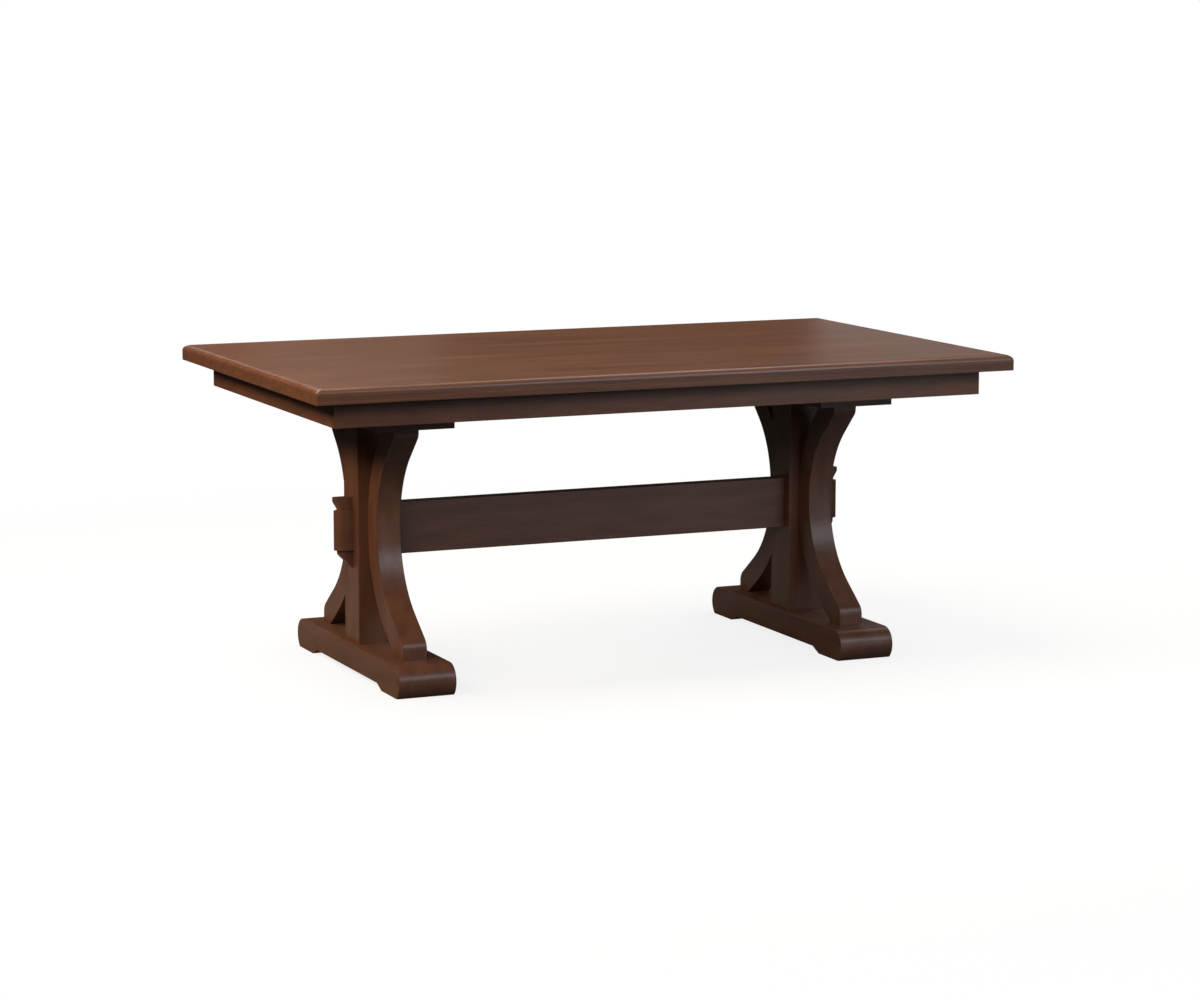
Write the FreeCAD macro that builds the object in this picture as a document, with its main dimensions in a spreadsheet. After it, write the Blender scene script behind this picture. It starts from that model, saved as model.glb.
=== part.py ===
"""Trestle dining table: a planked top on two braced trestles joined by a keyed stretcher.

Millimetres. The length runs along X, the width along Y and Z is up. The origin is on the floor
under the middle of the table.
"""

import FreeCAD, Part
import math
import os

import Sketcher

BOARD_COUNT = 8
SIDES = (("left", -1), ("right", 1))
ENDS = (("front", -1), ("back", 1))

SIZES = (
    # Top and apron
    ("table_height", 774.7),
    ("top_length", 1828.8),
    ("top_width", 1066.8),
    ("top_thickness", 38.1),
    ("top_round", 14),
    ("apron_inset", 63.5),
    ("apron_height", 63.5),
    ("apron_thickness", 22),
    ("apron_screw_inset", 110),
    ("apron_screw_step", 420),
    ("block_side", 40),
    ("block_height", 52),
    ("cleat_thickness", 38),
    ("cleat_offset", 62),
    ("cleat_screw_inset", 75),
    ("cleat_screw_step", 250),
    # Plates and posts
    ("trestle_inset", 323.4),
    ("plate_width", 200),
    ("plate_overhang", 61),
    ("plate_thickness", 36.5),
    ("plate_screw_inset", 74),
    ("post_width", 115),
    ("post_depth", 102.5),
    ("post_round", 2.5),
    # Feet
    ("foot_width", 148),
    ("foot_height", 76),
    ("foot_overhang", 88),
    ("foot_nose_height", 34),
    ("foot_nose_radius", 46),
    ("foot_pad_length", 108),
    ("foot_relief_height", 14),
    ("foot_relief_run", 33),
    ("foot_round", 3),
    # Braces, with angles in degrees from upright
    ("brace_thickness", 63.5),
    ("brace_width", 62),
    ("brace_waist_height", 12),
    ("brace_toe_height", 39.3),
    ("brace_tip_height", 24.6),
    ("brace_lower_run", 58.5),
    ("brace_upper_run", 59),
    ("brace_lower_angle", 53.9),
    ("brace_upper_angle", 45.9),
    ("brace_toe_round", 32),
    ("brace_tip_round", 26),
    ("brace_round", 2.5),
    # Stretcher and keys
    ("stretcher_level", 291.3),
    ("stretcher_height", 129),
    ("stretcher_thickness", 42),
    ("stretcher_round", 2),
    ("tenon_height", 98),
    ("tenon_reach", 44),
    ("mortise_gap", 0.3),
    ("key_thickness", 28),
    ("key_depth", 36.6),
    ("key_head_depth", 47.5),
    ("key_rim_height", 10.2),
    ("key_flare_height", 18.6),
    ("key_neck_height", 5),
    ("key_drop", 44),
    ("key_point_height", 36),
    ("key_point_edge", 1.5),
    ("key_slot_relief", 2),
    # Fasteners
    ("drill_gap", 0.3),
    ("drill_end_gap", 2),
    ("lag_offset", 30),
    ("lag_diameter", 10),
    ("lag_bite", 75),
    ("lag_head_diameter", 17),
    ("lag_head_height", 7),
    ("washer_diameter", 24),
    ("washer_thickness", 2.5),
    ("lag_foot_cover", 34),
    ("lag_plate_cover", 22),
    ("screw_diameter", 6),
    ("screw_head_diameter", 11),
    ("screw_head_height", 4),
    ("brace_screw_cover", 30),
    ("brace_foot_bite", 32),
    ("brace_plate_bite", 24),
    ("plate_screw_cover", 28),
    ("plate_screw_bite", 36),
    ("top_screw_cover", 26),
    ("top_screw_bite", 22),
    ("block_screw_cover", 32),
    ("block_screw_bite", 14),
    ("block_screw_rise", 16),
    ("dowel_diameter", 10),
    ("dowel_bite", 20),
    ("dowel_spread", 15),
)

PLACES = (
    # Levels
    ("top_underside", "sizes.table_height - sizes.top_thickness"),
    ("apron_level", "top_underside - sizes.apron_height"),
    ("plate_level", "apron_level - sizes.plate_thickness"),
    ("post_length", "plate_level - sizes.foot_height"),
    # Top and apron
    ("board_width", "sizes.top_width / %d" % BOARD_COUNT),
    ("top_end", "sizes.top_length / 2"),
    ("top_side", "sizes.top_width / 2"),
    ("apron_end", "top_end - sizes.apron_inset"),
    ("apron_side", "top_side - sizes.apron_inset"),
    ("apron_inner_end", "apron_end - sizes.apron_thickness"),
    ("apron_inner_side", "apron_side - sizes.apron_thickness"),
    # Trestles
    ("trestle_x", "top_end - sizes.trestle_inset"),
    ("post_inner_x", "trestle_x - sizes.post_width / 2"),
    ("post_outer_x", "trestle_x + sizes.post_width / 2"),
    ("post_side", "sizes.post_depth / 2"),
    # Braces: two arcs about one upright line, with a straight run beyond each
    ("brace_bend_rise", "post_length - sizes.brace_toe_height - sizes.brace_tip_height"
        " - sizes.brace_lower_run - sizes.brace_upper_run - sizes.brace_waist_height"),
    ("brace_radius", "brace_bend_rise / (sin(sizes.brace_lower_angle) + sin(sizes.brace_upper_angle))"),
    ("brace_back_radius", "brace_radius + sizes.brace_width"),
    ("waist_y", "post_side + sizes.brace_width"),
    ("brace_centre_y", "waist_y + brace_radius"),
    ("toe_corner_z", "sizes.foot_height + sizes.brace_toe_height"),
    ("lower_bend_z", "toe_corner_z + sizes.brace_lower_run"),
    ("waist_low_z", "lower_bend_z + brace_radius * sin(sizes.brace_lower_angle)"),
    ("waist_high_z", "waist_low_z + sizes.brace_waist_height"),
    ("upper_bend_z", "waist_high_z + brace_radius * sin(sizes.brace_upper_angle)"),
    ("tip_corner_z", "plate_level - sizes.brace_tip_height"),
    ("lower_bend_y", "brace_centre_y - brace_radius * cos(sizes.brace_lower_angle)"),
    ("upper_bend_y", "brace_centre_y - brace_radius * cos(sizes.brace_upper_angle)"),
    ("toe_y", "lower_bend_y + sizes.brace_lower_run * tan(sizes.brace_lower_angle)"),
    ("tip_y", "upper_bend_y + sizes.brace_upper_run * tan(sizes.brace_upper_angle)"),
    ("lower_back_y", "brace_centre_y - brace_back_radius * cos(sizes.brace_lower_angle)"),
    ("lower_back_z", "waist_low_z - brace_back_radius * sin(sizes.brace_lower_angle)"),
    ("upper_back_y", "brace_centre_y - brace_back_radius * cos(sizes.brace_upper_angle)"),
    ("upper_back_z", "waist_high_z + brace_back_radius * sin(sizes.brace_upper_angle)"),
    ("heel_y", "lower_back_y + (lower_back_z - sizes.foot_height) * tan(sizes.brace_lower_angle)"),
    ("nape_y", "upper_back_y + (plate_level - upper_back_z) * tan(sizes.brace_upper_angle)"),
    ("toe_middle_y", "(toe_y + heel_y) / 2"),
    ("tip_middle_y", "(tip_y + nape_y) / 2"),
    ("waist_middle_z", "(waist_low_z + waist_high_z) / 2"),
    # Feet and plates
    ("foot_end", "toe_y + sizes.foot_overhang"),
    ("nose_top_radius", "sizes.foot_height - sizes.foot_nose_height"),
    ("nose_top_y", "foot_end - nose_top_radius"),
    ("pad_outer_y", "foot_end - sizes.foot_nose_radius"
        " + sqrt(sizes.foot_nose_radius^2 - sizes.foot_nose_height^2)"),
    ("pad_inner_y", "pad_outer_y - sizes.foot_pad_length"),
    ("relief_y", "pad_inner_y - sizes.foot_relief_run"),
    ("plate_end", "tip_y + sizes.plate_overhang"),
    # Stretcher and keys
    ("stretcher_middle_z", "sizes.stretcher_level + sizes.stretcher_height / 2"),
    ("tenon_bottom", "stretcher_middle_z - sizes.tenon_height / 2"),
    ("tenon_top", "stretcher_middle_z + sizes.tenon_height / 2"),
    ("tenon_end", "post_outer_x + sizes.tenon_reach"),
    ("tenon_round_x", "tenon_end - sizes.stretcher_thickness / 2"),
    ("key_bottom", "tenon_bottom - sizes.key_drop"),
    ("key_point_z", "key_bottom + sizes.key_point_height"),
    ("key_flare_z", "tenon_top + sizes.key_neck_height"),
    ("key_rim_z", "key_flare_z + sizes.key_flare_height"),
    # Fasteners
    ("cleat_outer_x", "trestle_x + sizes.cleat_offset"),
    ("cleat_inner_x", "trestle_x - sizes.cleat_offset"),
    ("cleat_screw_y", "apron_inner_side - sizes.cleat_screw_inset"),
    ("cleat_mid_screw_y", "cleat_screw_y - sizes.cleat_screw_step"),
    ("apron_line_x", "apron_end - sizes.apron_thickness / 2"),
    ("apron_line_y", "apron_side - sizes.apron_thickness / 2"),
    ("apron_screw_x", "apron_end - sizes.apron_screw_inset"),
    ("apron_mid_screw_x", "apron_screw_x - sizes.apron_screw_step"),
    ("apron_screw_y", "apron_side - sizes.apron_screw_inset"),
    ("block_middle_x", "apron_inner_end - sizes.block_side / 2"),
    ("block_middle_y", "apron_inner_side - sizes.block_side / 2"),
    ("block_level", "top_underside - sizes.block_height"),
    ("plate_screw_y", "plate_end - sizes.plate_screw_inset"),
    ("lag_foot_seat", "sizes.foot_height - sizes.lag_foot_cover"),
    ("lag_plate_seat", "plate_level + sizes.lag_plate_cover"),
    ("brace_foot_seat", "sizes.foot_height - sizes.brace_screw_cover"),
    ("brace_plate_seat", "plate_level + sizes.brace_screw_cover"),
    ("plate_screw_seat", "apron_level - sizes.plate_screw_cover"),
    ("top_screw_seat", "top_underside - sizes.top_screw_cover"),
    ("block_screw_high", "top_underside - sizes.block_screw_rise"),
    ("block_screw_low", "block_level + sizes.block_screw_rise"),
)

doc = FreeCAD.newDocument("trestle_table")


def fill_sheet(name, rows, mark=""):
    """Write one alias per row; the mark "=" makes each cell a formula."""
    sheet = doc.addObject("Spreadsheet::Sheet", name)
    for row, (alias, content) in enumerate(rows, 1):
        sheet.set("A%d" % row, alias)
        sheet.set("B%d" % row, mark + str(content))
        sheet.setAlias("B%d" % row, alias)
    return sheet


sizes = fill_sheet("sizes", SIZES)
places = fill_sheet("places", PLACES, "=")
doc.recompute()


def value(expression):
    """The number that an expression of the sheets stands for."""
    return float(sizes.evalExpression(expression))


def signed(sign, expression):
    """The expression, or its negative on the left or front half."""
    return expression if sign > 0 else "-(%s)" % expression


def make_body(label):
    body = doc.addObject("PartDesign::Body", label)
    body.Label = label
    body.AllowCompound = True
    return body


def make_sketch(body, role, offset="0"):
    """A sketch on one of the body's own planes, moved along that plane's normal."""
    sketch = body.newObject("Sketcher::SketchObject", body.Name + "_sketch")
    plane = next(item for item in body.Origin.OriginFeatures if item.Role == role)
    sketch.AttachmentSupport = [(plane, "")]
    sketch.MapMode = "FlatFace"
    sketch.setExpression("AttachmentOffset.Base.z", offset)
    return sketch


def drive(sketch, constraint, expression):
    """Add a dimension and bind it to the sheets."""
    index = sketch.addConstraint(constraint)
    sketch.setExpression("Constraints[%d]" % index, expression)


def hold_point(sketch, geometry, end, corner):
    """Fix one point of the sketch at an expression pair."""
    axes = (("DistanceX", -2), ("DistanceY", -1))
    for (kind, axis), expression in zip(axes, corner):
        if expression == "0":
            sketch.addConstraint(Sketcher.Constraint("PointOnObject", geometry, end, axis))
        else:
            drive(sketch, Sketcher.Constraint(kind, geometry, end, value(expression)), expression)


def add_short_arc(sketch, start, finish, centre):
    """The arc under a half circle between two points, with the ends that lie on each."""
    spoke = start - centre
    first = math.atan2(spoke.y, spoke.x)
    spoke_end = finish - centre
    last = math.atan2(spoke_end.y, spoke_end.x)
    circle = Part.Circle(centre, FreeCAD.Vector(0, 0, 1), spoke.Length)
    if (last - first) % (2 * math.pi) < math.pi:
        return sketch.addGeometry(Part.ArcOfCircle(circle, first, last)), 1, 2
    return sketch.addGeometry(Part.ArcOfCircle(circle, last, first)), 2, 1


def draw_outline(sketch, corners, arcs=None):
    """A closed outline through corners; arcs maps a side's index to its centre and radius."""
    arcs = arcs or {}
    points = [FreeCAD.Vector(value(x), value(y), 0) for x, y in corners]
    sides = []
    for index, start in enumerate(points):
        finish = points[(index + 1) % len(points)]
        if index in arcs:
            centre = FreeCAD.Vector(*[value(part) for part in arcs[index][0]])
            sides.append(add_short_arc(sketch, start, finish, centre))
        else:
            sides.append((sketch.addGeometry(Part.LineSegment(start, finish)), 1, 2))
    for index, (geometry, first, last) in enumerate(sides):
        after, after_first, _ = sides[(index + 1) % len(sides)]
        sketch.addConstraint(Sketcher.Constraint("Coincident", geometry, last, after, after_first))
        hold_point(sketch, geometry, first, corners[index])
    for index, (_, radius) in arcs.items():
        drive(sketch, Sketcher.Constraint("Radius", sides[index][0], value(radius)), radius)


def draw_circles(sketch, spots, diameter):
    """One circle of the given diameter at each expression pair."""
    for spot in spots:
        middle = FreeCAD.Vector(value(spot[0]), value(spot[1]), 0)
        circle = Part.Circle(middle, FreeCAD.Vector(0, 0, 1), value(diameter) / 2)
        geometry = sketch.addGeometry(circle)
        hold_point(sketch, geometry, 3, spot)
        drive(sketch, Sketcher.Constraint("Diameter", geometry, value(diameter)), diameter)


def make_pad(body, sketch, length, symmetric=False, backwards=False):
    pad = body.newObject("PartDesign::Pad", body.Name + "_pad")
    pad.Profile = sketch
    pad.setExpression("Length", length)
    if symmetric:
        pad.SideType = "Symmetric"
    pad.Reversed = backwards
    doc.recompute()
    return pad


def make_pocket(body, sketch, length):
    """Cut the sketch to both sides of its plane, and make sure that it took something away."""
    before = body.Shape.Volume
    pocket = body.newObject("PartDesign::Pocket", body.Name + "_pocket")
    pocket.Profile = sketch
    pocket.setExpression("Length", length)
    pocket.SideType = "Symmetric"
    doc.recompute()
    if not pocket.Shape.Volume < before:
        raise RuntimeError(body.Label + ": the pocket cuts nothing")
    return pocket


def round_edges(body, feature, test, radius):
    """Fillet the feature's edges whose points all pass the test."""
    names = []
    for index, edge in enumerate(feature.Shape.Edges, 1):
        middle = edge.valueAt((edge.FirstParameter + edge.LastParameter) / 2)
        if all(test(point) for point in [vertex.Point for vertex in edge.Vertexes] + [middle]):
            names.append("Edge%d" % index)
    if not names:
        raise RuntimeError(body.Label + ": no edge to round")
    fillet = body.newObject("PartDesign::Fillet", body.Name + "_fillet")
    fillet.Base = (feature, names)
    fillet.setExpression("Radius", radius)
    doc.recompute()
    return fillet


def near(number, expression):
    return abs(number - value(expression)) < 1e-4


def make_box(label, middle, spans):
    """A box from its middle in X and Y and its lowest Z, all as expressions."""
    box = doc.addObject("Part::Box", label)
    box.setExpression("Length", spans[0])
    box.setExpression("Width", spans[1])
    box.setExpression("Height", spans[2])
    box.setExpression("Placement.Base.x", "%s - (%s) / 2" % (middle[0], spans[0]))
    box.setExpression("Placement.Base.y", "%s - (%s) / 2" % (middle[1], spans[1]))
    box.setExpression("Placement.Base.z", middle[2])
    return box


nodes = []


def keep(piece, label, drills=()):
    """Drill a finished piece and enter it in the list of sub-parts under its own label."""
    if drills:
        tool = drills[0]
        if len(drills) > 1:
            tool = doc.addObject("Part::Compound", label + "_drills")
            tool.Links = list(drills)
        blank = piece
        blank.Label = label + "_blank"
        piece = doc.addObject("Part::Cut", label)
        piece.Base = blank
        piece.Tool = tool
    piece.Label = label
    nodes.append(piece)


# Fasteners. Each group is one body of separate screws, and its drill is the same shape with room.

def four_spots(x, y):
    """A spot in each quarter of the table."""
    return [(signed(side, x), signed(end, y)) for _, side in SIDES for _, end in ENDS]


def add_upright_screws(body, spots, seat, reach, upwards, shank, head, head_height):
    """Shanks from the seat to their reach, and heads on the seat's other side."""
    shanks = make_sketch(body, "XY_Plane", seat)
    draw_circles(shanks, spots, shank)
    make_pad(body, shanks, reach, backwards=not upwards)
    heads = make_sketch(body, "XY_Plane", seat)
    draw_circles(heads, spots, head)
    make_pad(body, heads, head_height, backwards=upwards)


def wider(diameter):
    return "%s + 2 * sizes.drill_gap" % diameter


def make_upright_screws(label, spots, seat, reach, upwards, mouth, kind="screw"):
    """A group of upright screws and its drill, whose head hole is as deep as the mouth."""
    shank = "sizes.%s_diameter" % kind
    head = "sizes.%s_head_diameter" % kind
    screws = make_body(label)
    add_upright_screws(screws, spots, seat, reach, upwards, shank, head, "sizes.%s_head_height" % kind)
    keep(screws, label)
    drill = make_body(label + "_drill")
    add_upright_screws(drill, spots, seat, reach + " + sizes.drill_end_gap", upwards,
                       wider(shank), wider(head), mouth)
    return drill


def make_lag_screws(label, spots, seat, cover, upwards, mouth):
    """Lag screws with a washer under each head; the washers are a group of their own."""
    out = -1 if upwards else 1
    head_seat = "%s + (%s)" % (seat, signed(out, "sizes.washer_thickness"))
    reach = "%s + sizes.lag_bite + sizes.washer_thickness" % cover
    screws = make_body(label)
    add_upright_screws(screws, spots, head_seat, reach, upwards, "sizes.lag_diameter",
                       "sizes.lag_head_diameter", "sizes.lag_head_height")
    keep(screws, label)
    washers = make_body(label.replace("screws", "washers"))
    rings = make_sketch(washers, "XY_Plane", seat)
    draw_circles(rings, spots, "sizes.washer_diameter")
    draw_circles(rings, spots, wider("sizes.lag_diameter"))
    make_pad(washers, rings, "sizes.washer_thickness", backwards=upwards)
    keep(washers, washers.Name)
    drill = make_body(label + "_drill")
    add_upright_screws(drill, spots, seat, "%s + sizes.lag_bite + sizes.drill_end_gap" % cover, upwards,
                       wider("sizes.lag_diameter"), wider("sizes.washer_diameter"), mouth)
    return drill


def make_brace_dowels():
    """Level dowels across each seam between brace and post, two to a seam."""
    label = "brace_dowels"
    spread = "sizes.dowel_spread"
    spots = [(signed(side, "places.trestle_x") + step + spread, "places.waist_middle_z")
             for _, side in SIDES for step in (" - ", " + ")]
    dowels = make_body(label)
    drill = make_body(label + "_drill")
    for body, diameter in ((dowels, "sizes.dowel_diameter"), (drill, wider("sizes.dowel_diameter"))):
        for _, end in ENDS:
            circles = make_sketch(body, "XZ_Plane", signed(-end, "places.post_side"))
            draw_circles(circles, spots, diameter)
            make_pad(body, circles, "2 * sizes.dowel_bite", symmetric=True)
    keep(dowels, label)
    return drill


def add_level_screws(body, role, height, spots, seat, reach, shank, head, head_height):
    """Screws along one axis, towards its two ends, at one height and two places across."""
    for sign in (-1, 1):
        for diameter, length, outwards in ((shank, reach, True), (head, head_height, False)):
            circles = make_sketch(body, role, signed(sign, seat))
            draw_circles(circles, [(spot, height) for spot in spots], diameter)
            make_pad(body, circles, length, backwards=(sign > 0) != outwards)


def make_block_screws():
    """Two screws from each corner block, one into each apron that it joins."""
    label = "corner_block_screws"
    shank, head = "sizes.screw_diameter", "sizes.screw_head_diameter"
    reach = "sizes.block_screw_cover + sizes.block_screw_bite"
    mouth = "sizes.block_side - sizes.block_screw_cover"
    rows = (
        ("YZ_Plane", "places.block_screw_high", "places.block_middle_y", "places.apron_inner_end"),
        ("XZ_Plane", "places.block_screw_low", "places.block_middle_x", "places.apron_inner_side"),
    )
    screws = make_body(label)
    drill = make_body(label + "_drill")
    for role, height, across, face in rows:
        spots = [signed(sign, across) for sign in (-1, 1)]
        seat = "%s - sizes.block_screw_cover" % face
        add_level_screws(screws, role, height, spots, seat, reach, shank, head,
                         "sizes.screw_head_height")
        add_level_screws(drill, role, height, spots, seat, reach + " + sizes.drill_end_gap",
                         wider(shank), wider(head), mouth)
    keep(screws, label)
    return drill


foot_lag_drill = make_lag_screws(
    "foot_lag_screws", four_spots("places.trestle_x", "sizes.lag_offset"), "places.lag_foot_seat",
    "sizes.lag_foot_cover", True, "places.lag_foot_seat")
plate_lag_drill = make_lag_screws(
    "plate_lag_screws", four_spots("places.trestle_x", "sizes.lag_offset"), "places.lag_plate_seat",
    "sizes.lag_plate_cover", False, "sizes.plate_thickness - sizes.lag_plate_cover")
brace_foot_drill = make_upright_screws(
    "brace_foot_screws", four_spots("places.trestle_x", "places.toe_middle_y"),
    "places.brace_foot_seat", "sizes.brace_screw_cover + sizes.brace_foot_bite", True,
    "places.brace_foot_seat")
brace_plate_drill = make_upright_screws(
    "brace_plate_screws", four_spots("places.trestle_x", "places.tip_middle_y"),
    "places.brace_plate_seat", "sizes.brace_screw_cover + sizes.brace_plate_bite", False,
    "sizes.plate_thickness - sizes.brace_screw_cover")
plate_drill = make_upright_screws(
    "plate_screws",
    four_spots("places.cleat_outer_x", "places.plate_screw_y")
    + four_spots("places.cleat_inner_x", "places.plate_screw_y"),
    "places.plate_screw_seat", "sizes.plate_screw_cover + sizes.plate_screw_bite", True,
    "sizes.plate_thickness - sizes.plate_screw_cover")
cleat_drill = make_upright_screws(
    "cleat_screws",
    [spot for x in ("places.cleat_outer_x", "places.cleat_inner_x")
     for y in ("places.cleat_screw_y", "places.cleat_mid_screw_y") for spot in four_spots(x, y)],
    "places.top_screw_seat", "sizes.top_screw_cover + sizes.top_screw_bite", True,
    "sizes.apron_height - sizes.top_screw_cover")
apron_drill = make_upright_screws(
    "apron_screws",
    four_spots("places.apron_screw_x", "places.apron_line_y")
    + four_spots("places.apron_mid_screw_x", "places.apron_line_y")
    + four_spots("places.apron_line_x", "places.apron_screw_y"),
    "places.top_screw_seat", "sizes.top_screw_cover + sizes.top_screw_bite", True,
    "sizes.apron_height - sizes.top_screw_cover")
dowel_drill = make_brace_dowels()
block_drill = make_block_screws()


# Top

def make_board(number):
    """One plank, rounded over at both ends and, on the outermost two, along its outer edge."""
    label = "top_board_%d" % number
    body = make_body(label)
    middle = "(%g) * places.board_width" % (number - (BOARD_COUNT + 1) / 2)
    sketch = make_sketch(body, "XZ_Plane", "-(%s)" % middle)
    round_x = "places.top_end - sizes.top_round"
    round_z = "sizes.table_height - sizes.top_round"
    corners = [("-places.top_end", "places.top_underside"), ("places.top_end", "places.top_underside"),
               ("places.top_end", round_z), (round_x, "sizes.table_height"),
               (signed(-1, round_x), "sizes.table_height"), ("-places.top_end", round_z)]
    draw_outline(sketch, corners, {
        2: ((round_x, round_z), "sizes.top_round"),
        4: ((signed(-1, round_x), round_z), "sizes.top_round"),
    })
    make_pad(body, sketch, "places.board_width", symmetric=True)
    if number in (1, BOARD_COUNT):
        end = -1 if number == 1 else 1
        edge = make_sketch(body, "YZ_Plane")
        round_y = signed(end, "places.top_side - sizes.top_round")
        side = signed(end, "places.top_side")
        corners = [(side, round_z), (side, "sizes.table_height"), (round_y, "sizes.table_height")]
        draw_outline(edge, corners, {2: ((round_y, round_z), "sizes.top_round")})
        make_pocket(body, edge, "sizes.top_length")
    keep(body, label, (cleat_drill, apron_drill))


def make_aprons():
    """Front and back aprons run the full length; the end aprons stand between them."""
    for name, end in ENDS:
        apron = make_box("apron_%s_box" % name,
                         ("0", signed(end, "places.apron_line_y"), "places.apron_level"),
                         ("2 * places.apron_end", "sizes.apron_thickness", "sizes.apron_height"))
        keep(apron, "apron_" + name, (apron_drill, block_drill))
    for name, side in SIDES:
        apron = make_box("apron_%s_box" % name,
                         (signed(side, "places.apron_line_x"), "0", "places.apron_level"),
                         ("sizes.apron_thickness", "2 * places.apron_inner_side", "sizes.apron_height"))
        keep(apron, "apron_" + name, (apron_drill, block_drill))


def make_corner_block(name, side, end):
    label = "corner_block_" + name
    block = make_box(label + "_box",
                     (signed(side, "places.block_middle_x"), signed(end, "places.block_middle_y"),
                      "places.block_level"),
                     ("sizes.block_side", "sizes.block_side", "sizes.block_height"))
    keep(block, label, (block_drill,))


def make_cleat(name, x):
    label = "cleat_" + name
    cleat = make_box(label + "_box", (x, "0", "places.apron_level"),
                     ("sizes.cleat_thickness", "2 * places.apron_inner_side", "sizes.apron_height"))
    keep(cleat, label, (cleat_drill, plate_drill))


# Trestles

def make_plate(name, side):
    plate = make_box("plate_%s_box" % name,
                     (signed(side, "places.trestle_x"), "0", "places.plate_level"),
                     ("sizes.plate_width", "2 * places.plate_end", "sizes.plate_thickness"))
    keep(plate, "plate_" + name, (plate_lag_drill, brace_plate_drill, plate_drill))


def make_post(name, side):
    """An upright with eased corners and a mortise through it for the stretcher's tenon."""
    label = "post_" + name
    body = make_body(label)
    sketch = make_sketch(body, "XY_Plane", "sizes.foot_height")
    near_x, far_x = signed(side, "places.post_inner_x"), signed(side, "places.post_outer_x")
    draw_outline(sketch, [(near_x, "-places.post_side"), (far_x, "-places.post_side"),
                          (far_x, "places.post_side"), (near_x, "places.post_side")])
    pad = make_pad(body, sketch, "places.post_length")
    corner_x = [value(near_x), value(far_x)]
    round_edges(body, pad, lambda point: near(abs(point.y), "places.post_side")
                and min(abs(point.x - x) for x in corner_x) < 1e-4, "sizes.post_round")
    mortise = make_sketch(body, "XZ_Plane")
    gap = "sizes.mortise_gap"
    low, high = "places.tenon_bottom - " + gap, "places.tenon_top + " + gap
    draw_outline(mortise, [(near_x, low), (far_x, low), (far_x, high), (near_x, high)])
    make_pocket(body, mortise, "sizes.stretcher_thickness + 2 * " + gap)
    keep(body, label, (foot_lag_drill, plate_lag_drill, dowel_drill))


def make_brace(name, side, end):
    """A band of even width that bows in to the post and out to the foot and the plate."""
    label = "brace_" + name
    body = make_body(label)
    sketch = make_sketch(body, "YZ_Plane", signed(side, "places.trestle_x"))
    outline = (
        ("toe_y", "sizes.foot_height"), ("toe_y", "places.toe_corner_z"),
        ("lower_bend_y", "places.lower_bend_z"), ("waist_y", "places.waist_low_z"),
        ("waist_y", "places.waist_high_z"), ("upper_bend_y", "places.upper_bend_z"),
        ("tip_y", "places.tip_corner_z"), ("tip_y", "places.plate_level"),
        ("nape_y", "places.plate_level"), ("upper_back_y", "places.upper_back_z"),
        ("post_side", "places.waist_high_z"), ("post_side", "places.waist_low_z"),
        ("lower_back_y", "places.lower_back_z"), ("heel_y", "sizes.foot_height"),
    )
    corners = [(signed(end, "places." + y), z) for y, z in outline]
    centre_y = signed(end, "places.brace_centre_y")
    low, high = (centre_y, "places.waist_low_z"), (centre_y, "places.waist_high_z")
    draw_outline(sketch, corners, {
        2: (low, "places.brace_radius"), 4: (high, "places.brace_radius"),
        9: (high, "places.brace_back_radius"), 11: (low, "places.brace_back_radius"),
    })
    pad = make_pad(body, sketch, "sizes.brace_thickness", symmetric=True)
    toe = round_edges(body, pad, lambda point: near(abs(point.y), "places.toe_y")
                      and near(point.z, "places.toe_corner_z"), "sizes.brace_toe_round")
    tip = round_edges(body, toe, lambda point: near(abs(point.y), "places.tip_y")
                      and near(point.z, "places.tip_corner_z"), "sizes.brace_tip_round")
    trestle_x = value(signed(side, "places.trestle_x"))
    half = value("sizes.brace_thickness") / 2

    def on_outer_outline(point):
        """On one of the two side faces, and on the bowed side away from the post."""
        front_y = value("places.waist_y") - 1e-4
        return abs(abs(point.x - trestle_x) - half) < 1e-4 and (
            abs(point.y) > front_y and not near(point.z, "sizes.foot_height")
            and not near(point.z, "places.plate_level"))

    round_edges(body, tip, on_outer_outline, "sizes.brace_round")
    keep(body, label, (brace_foot_drill, brace_plate_drill, dowel_drill))


def make_foot(name, side):
    """A foot with a rounded nose at each end, relieved underneath between two pads."""
    label = "foot_" + name
    body = make_body(label)
    sketch = make_sketch(body, "YZ_Plane", signed(side, "places.trestle_x"))
    half = (("nose_top_y", "sizes.foot_height"), ("foot_end", "sizes.foot_nose_height"),
            ("pad_outer_y", "0"), ("pad_inner_y", "0"), ("relief_y", "sizes.foot_relief_height"))
    corners = [("places." + y, z) for y, z in half]
    corners += [("-places." + y, z) for y, z in reversed(half)]
    last = len(corners) - 1
    arcs = {}
    for sign, upper, lower in ((1, 0, 1), (-1, last - 1, last - 2)):
        upper_y = signed(sign, "places.nose_top_y")
        lower_y = signed(sign, "places.foot_end - sizes.foot_nose_radius")
        arcs[upper] = ((upper_y, "sizes.foot_nose_height"), "places.nose_top_radius")
        arcs[lower] = ((lower_y, "sizes.foot_nose_height"), "sizes.foot_nose_radius")
    draw_outline(sketch, corners, arcs)
    pad = make_pad(body, sketch, "sizes.foot_width", symmetric=True)
    trestle_x = value(signed(side, "places.trestle_x"))
    half_width = value("sizes.foot_width") / 2
    level = value("sizes.foot_nose_height") - 1e-4
    round_edges(body, pad, lambda point: abs(abs(point.x - trestle_x) - half_width) < 1e-4
                and point.z > level, "sizes.foot_round")
    keep(body, label, (foot_lag_drill, brace_foot_drill))


# Stretcher and keys

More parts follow.
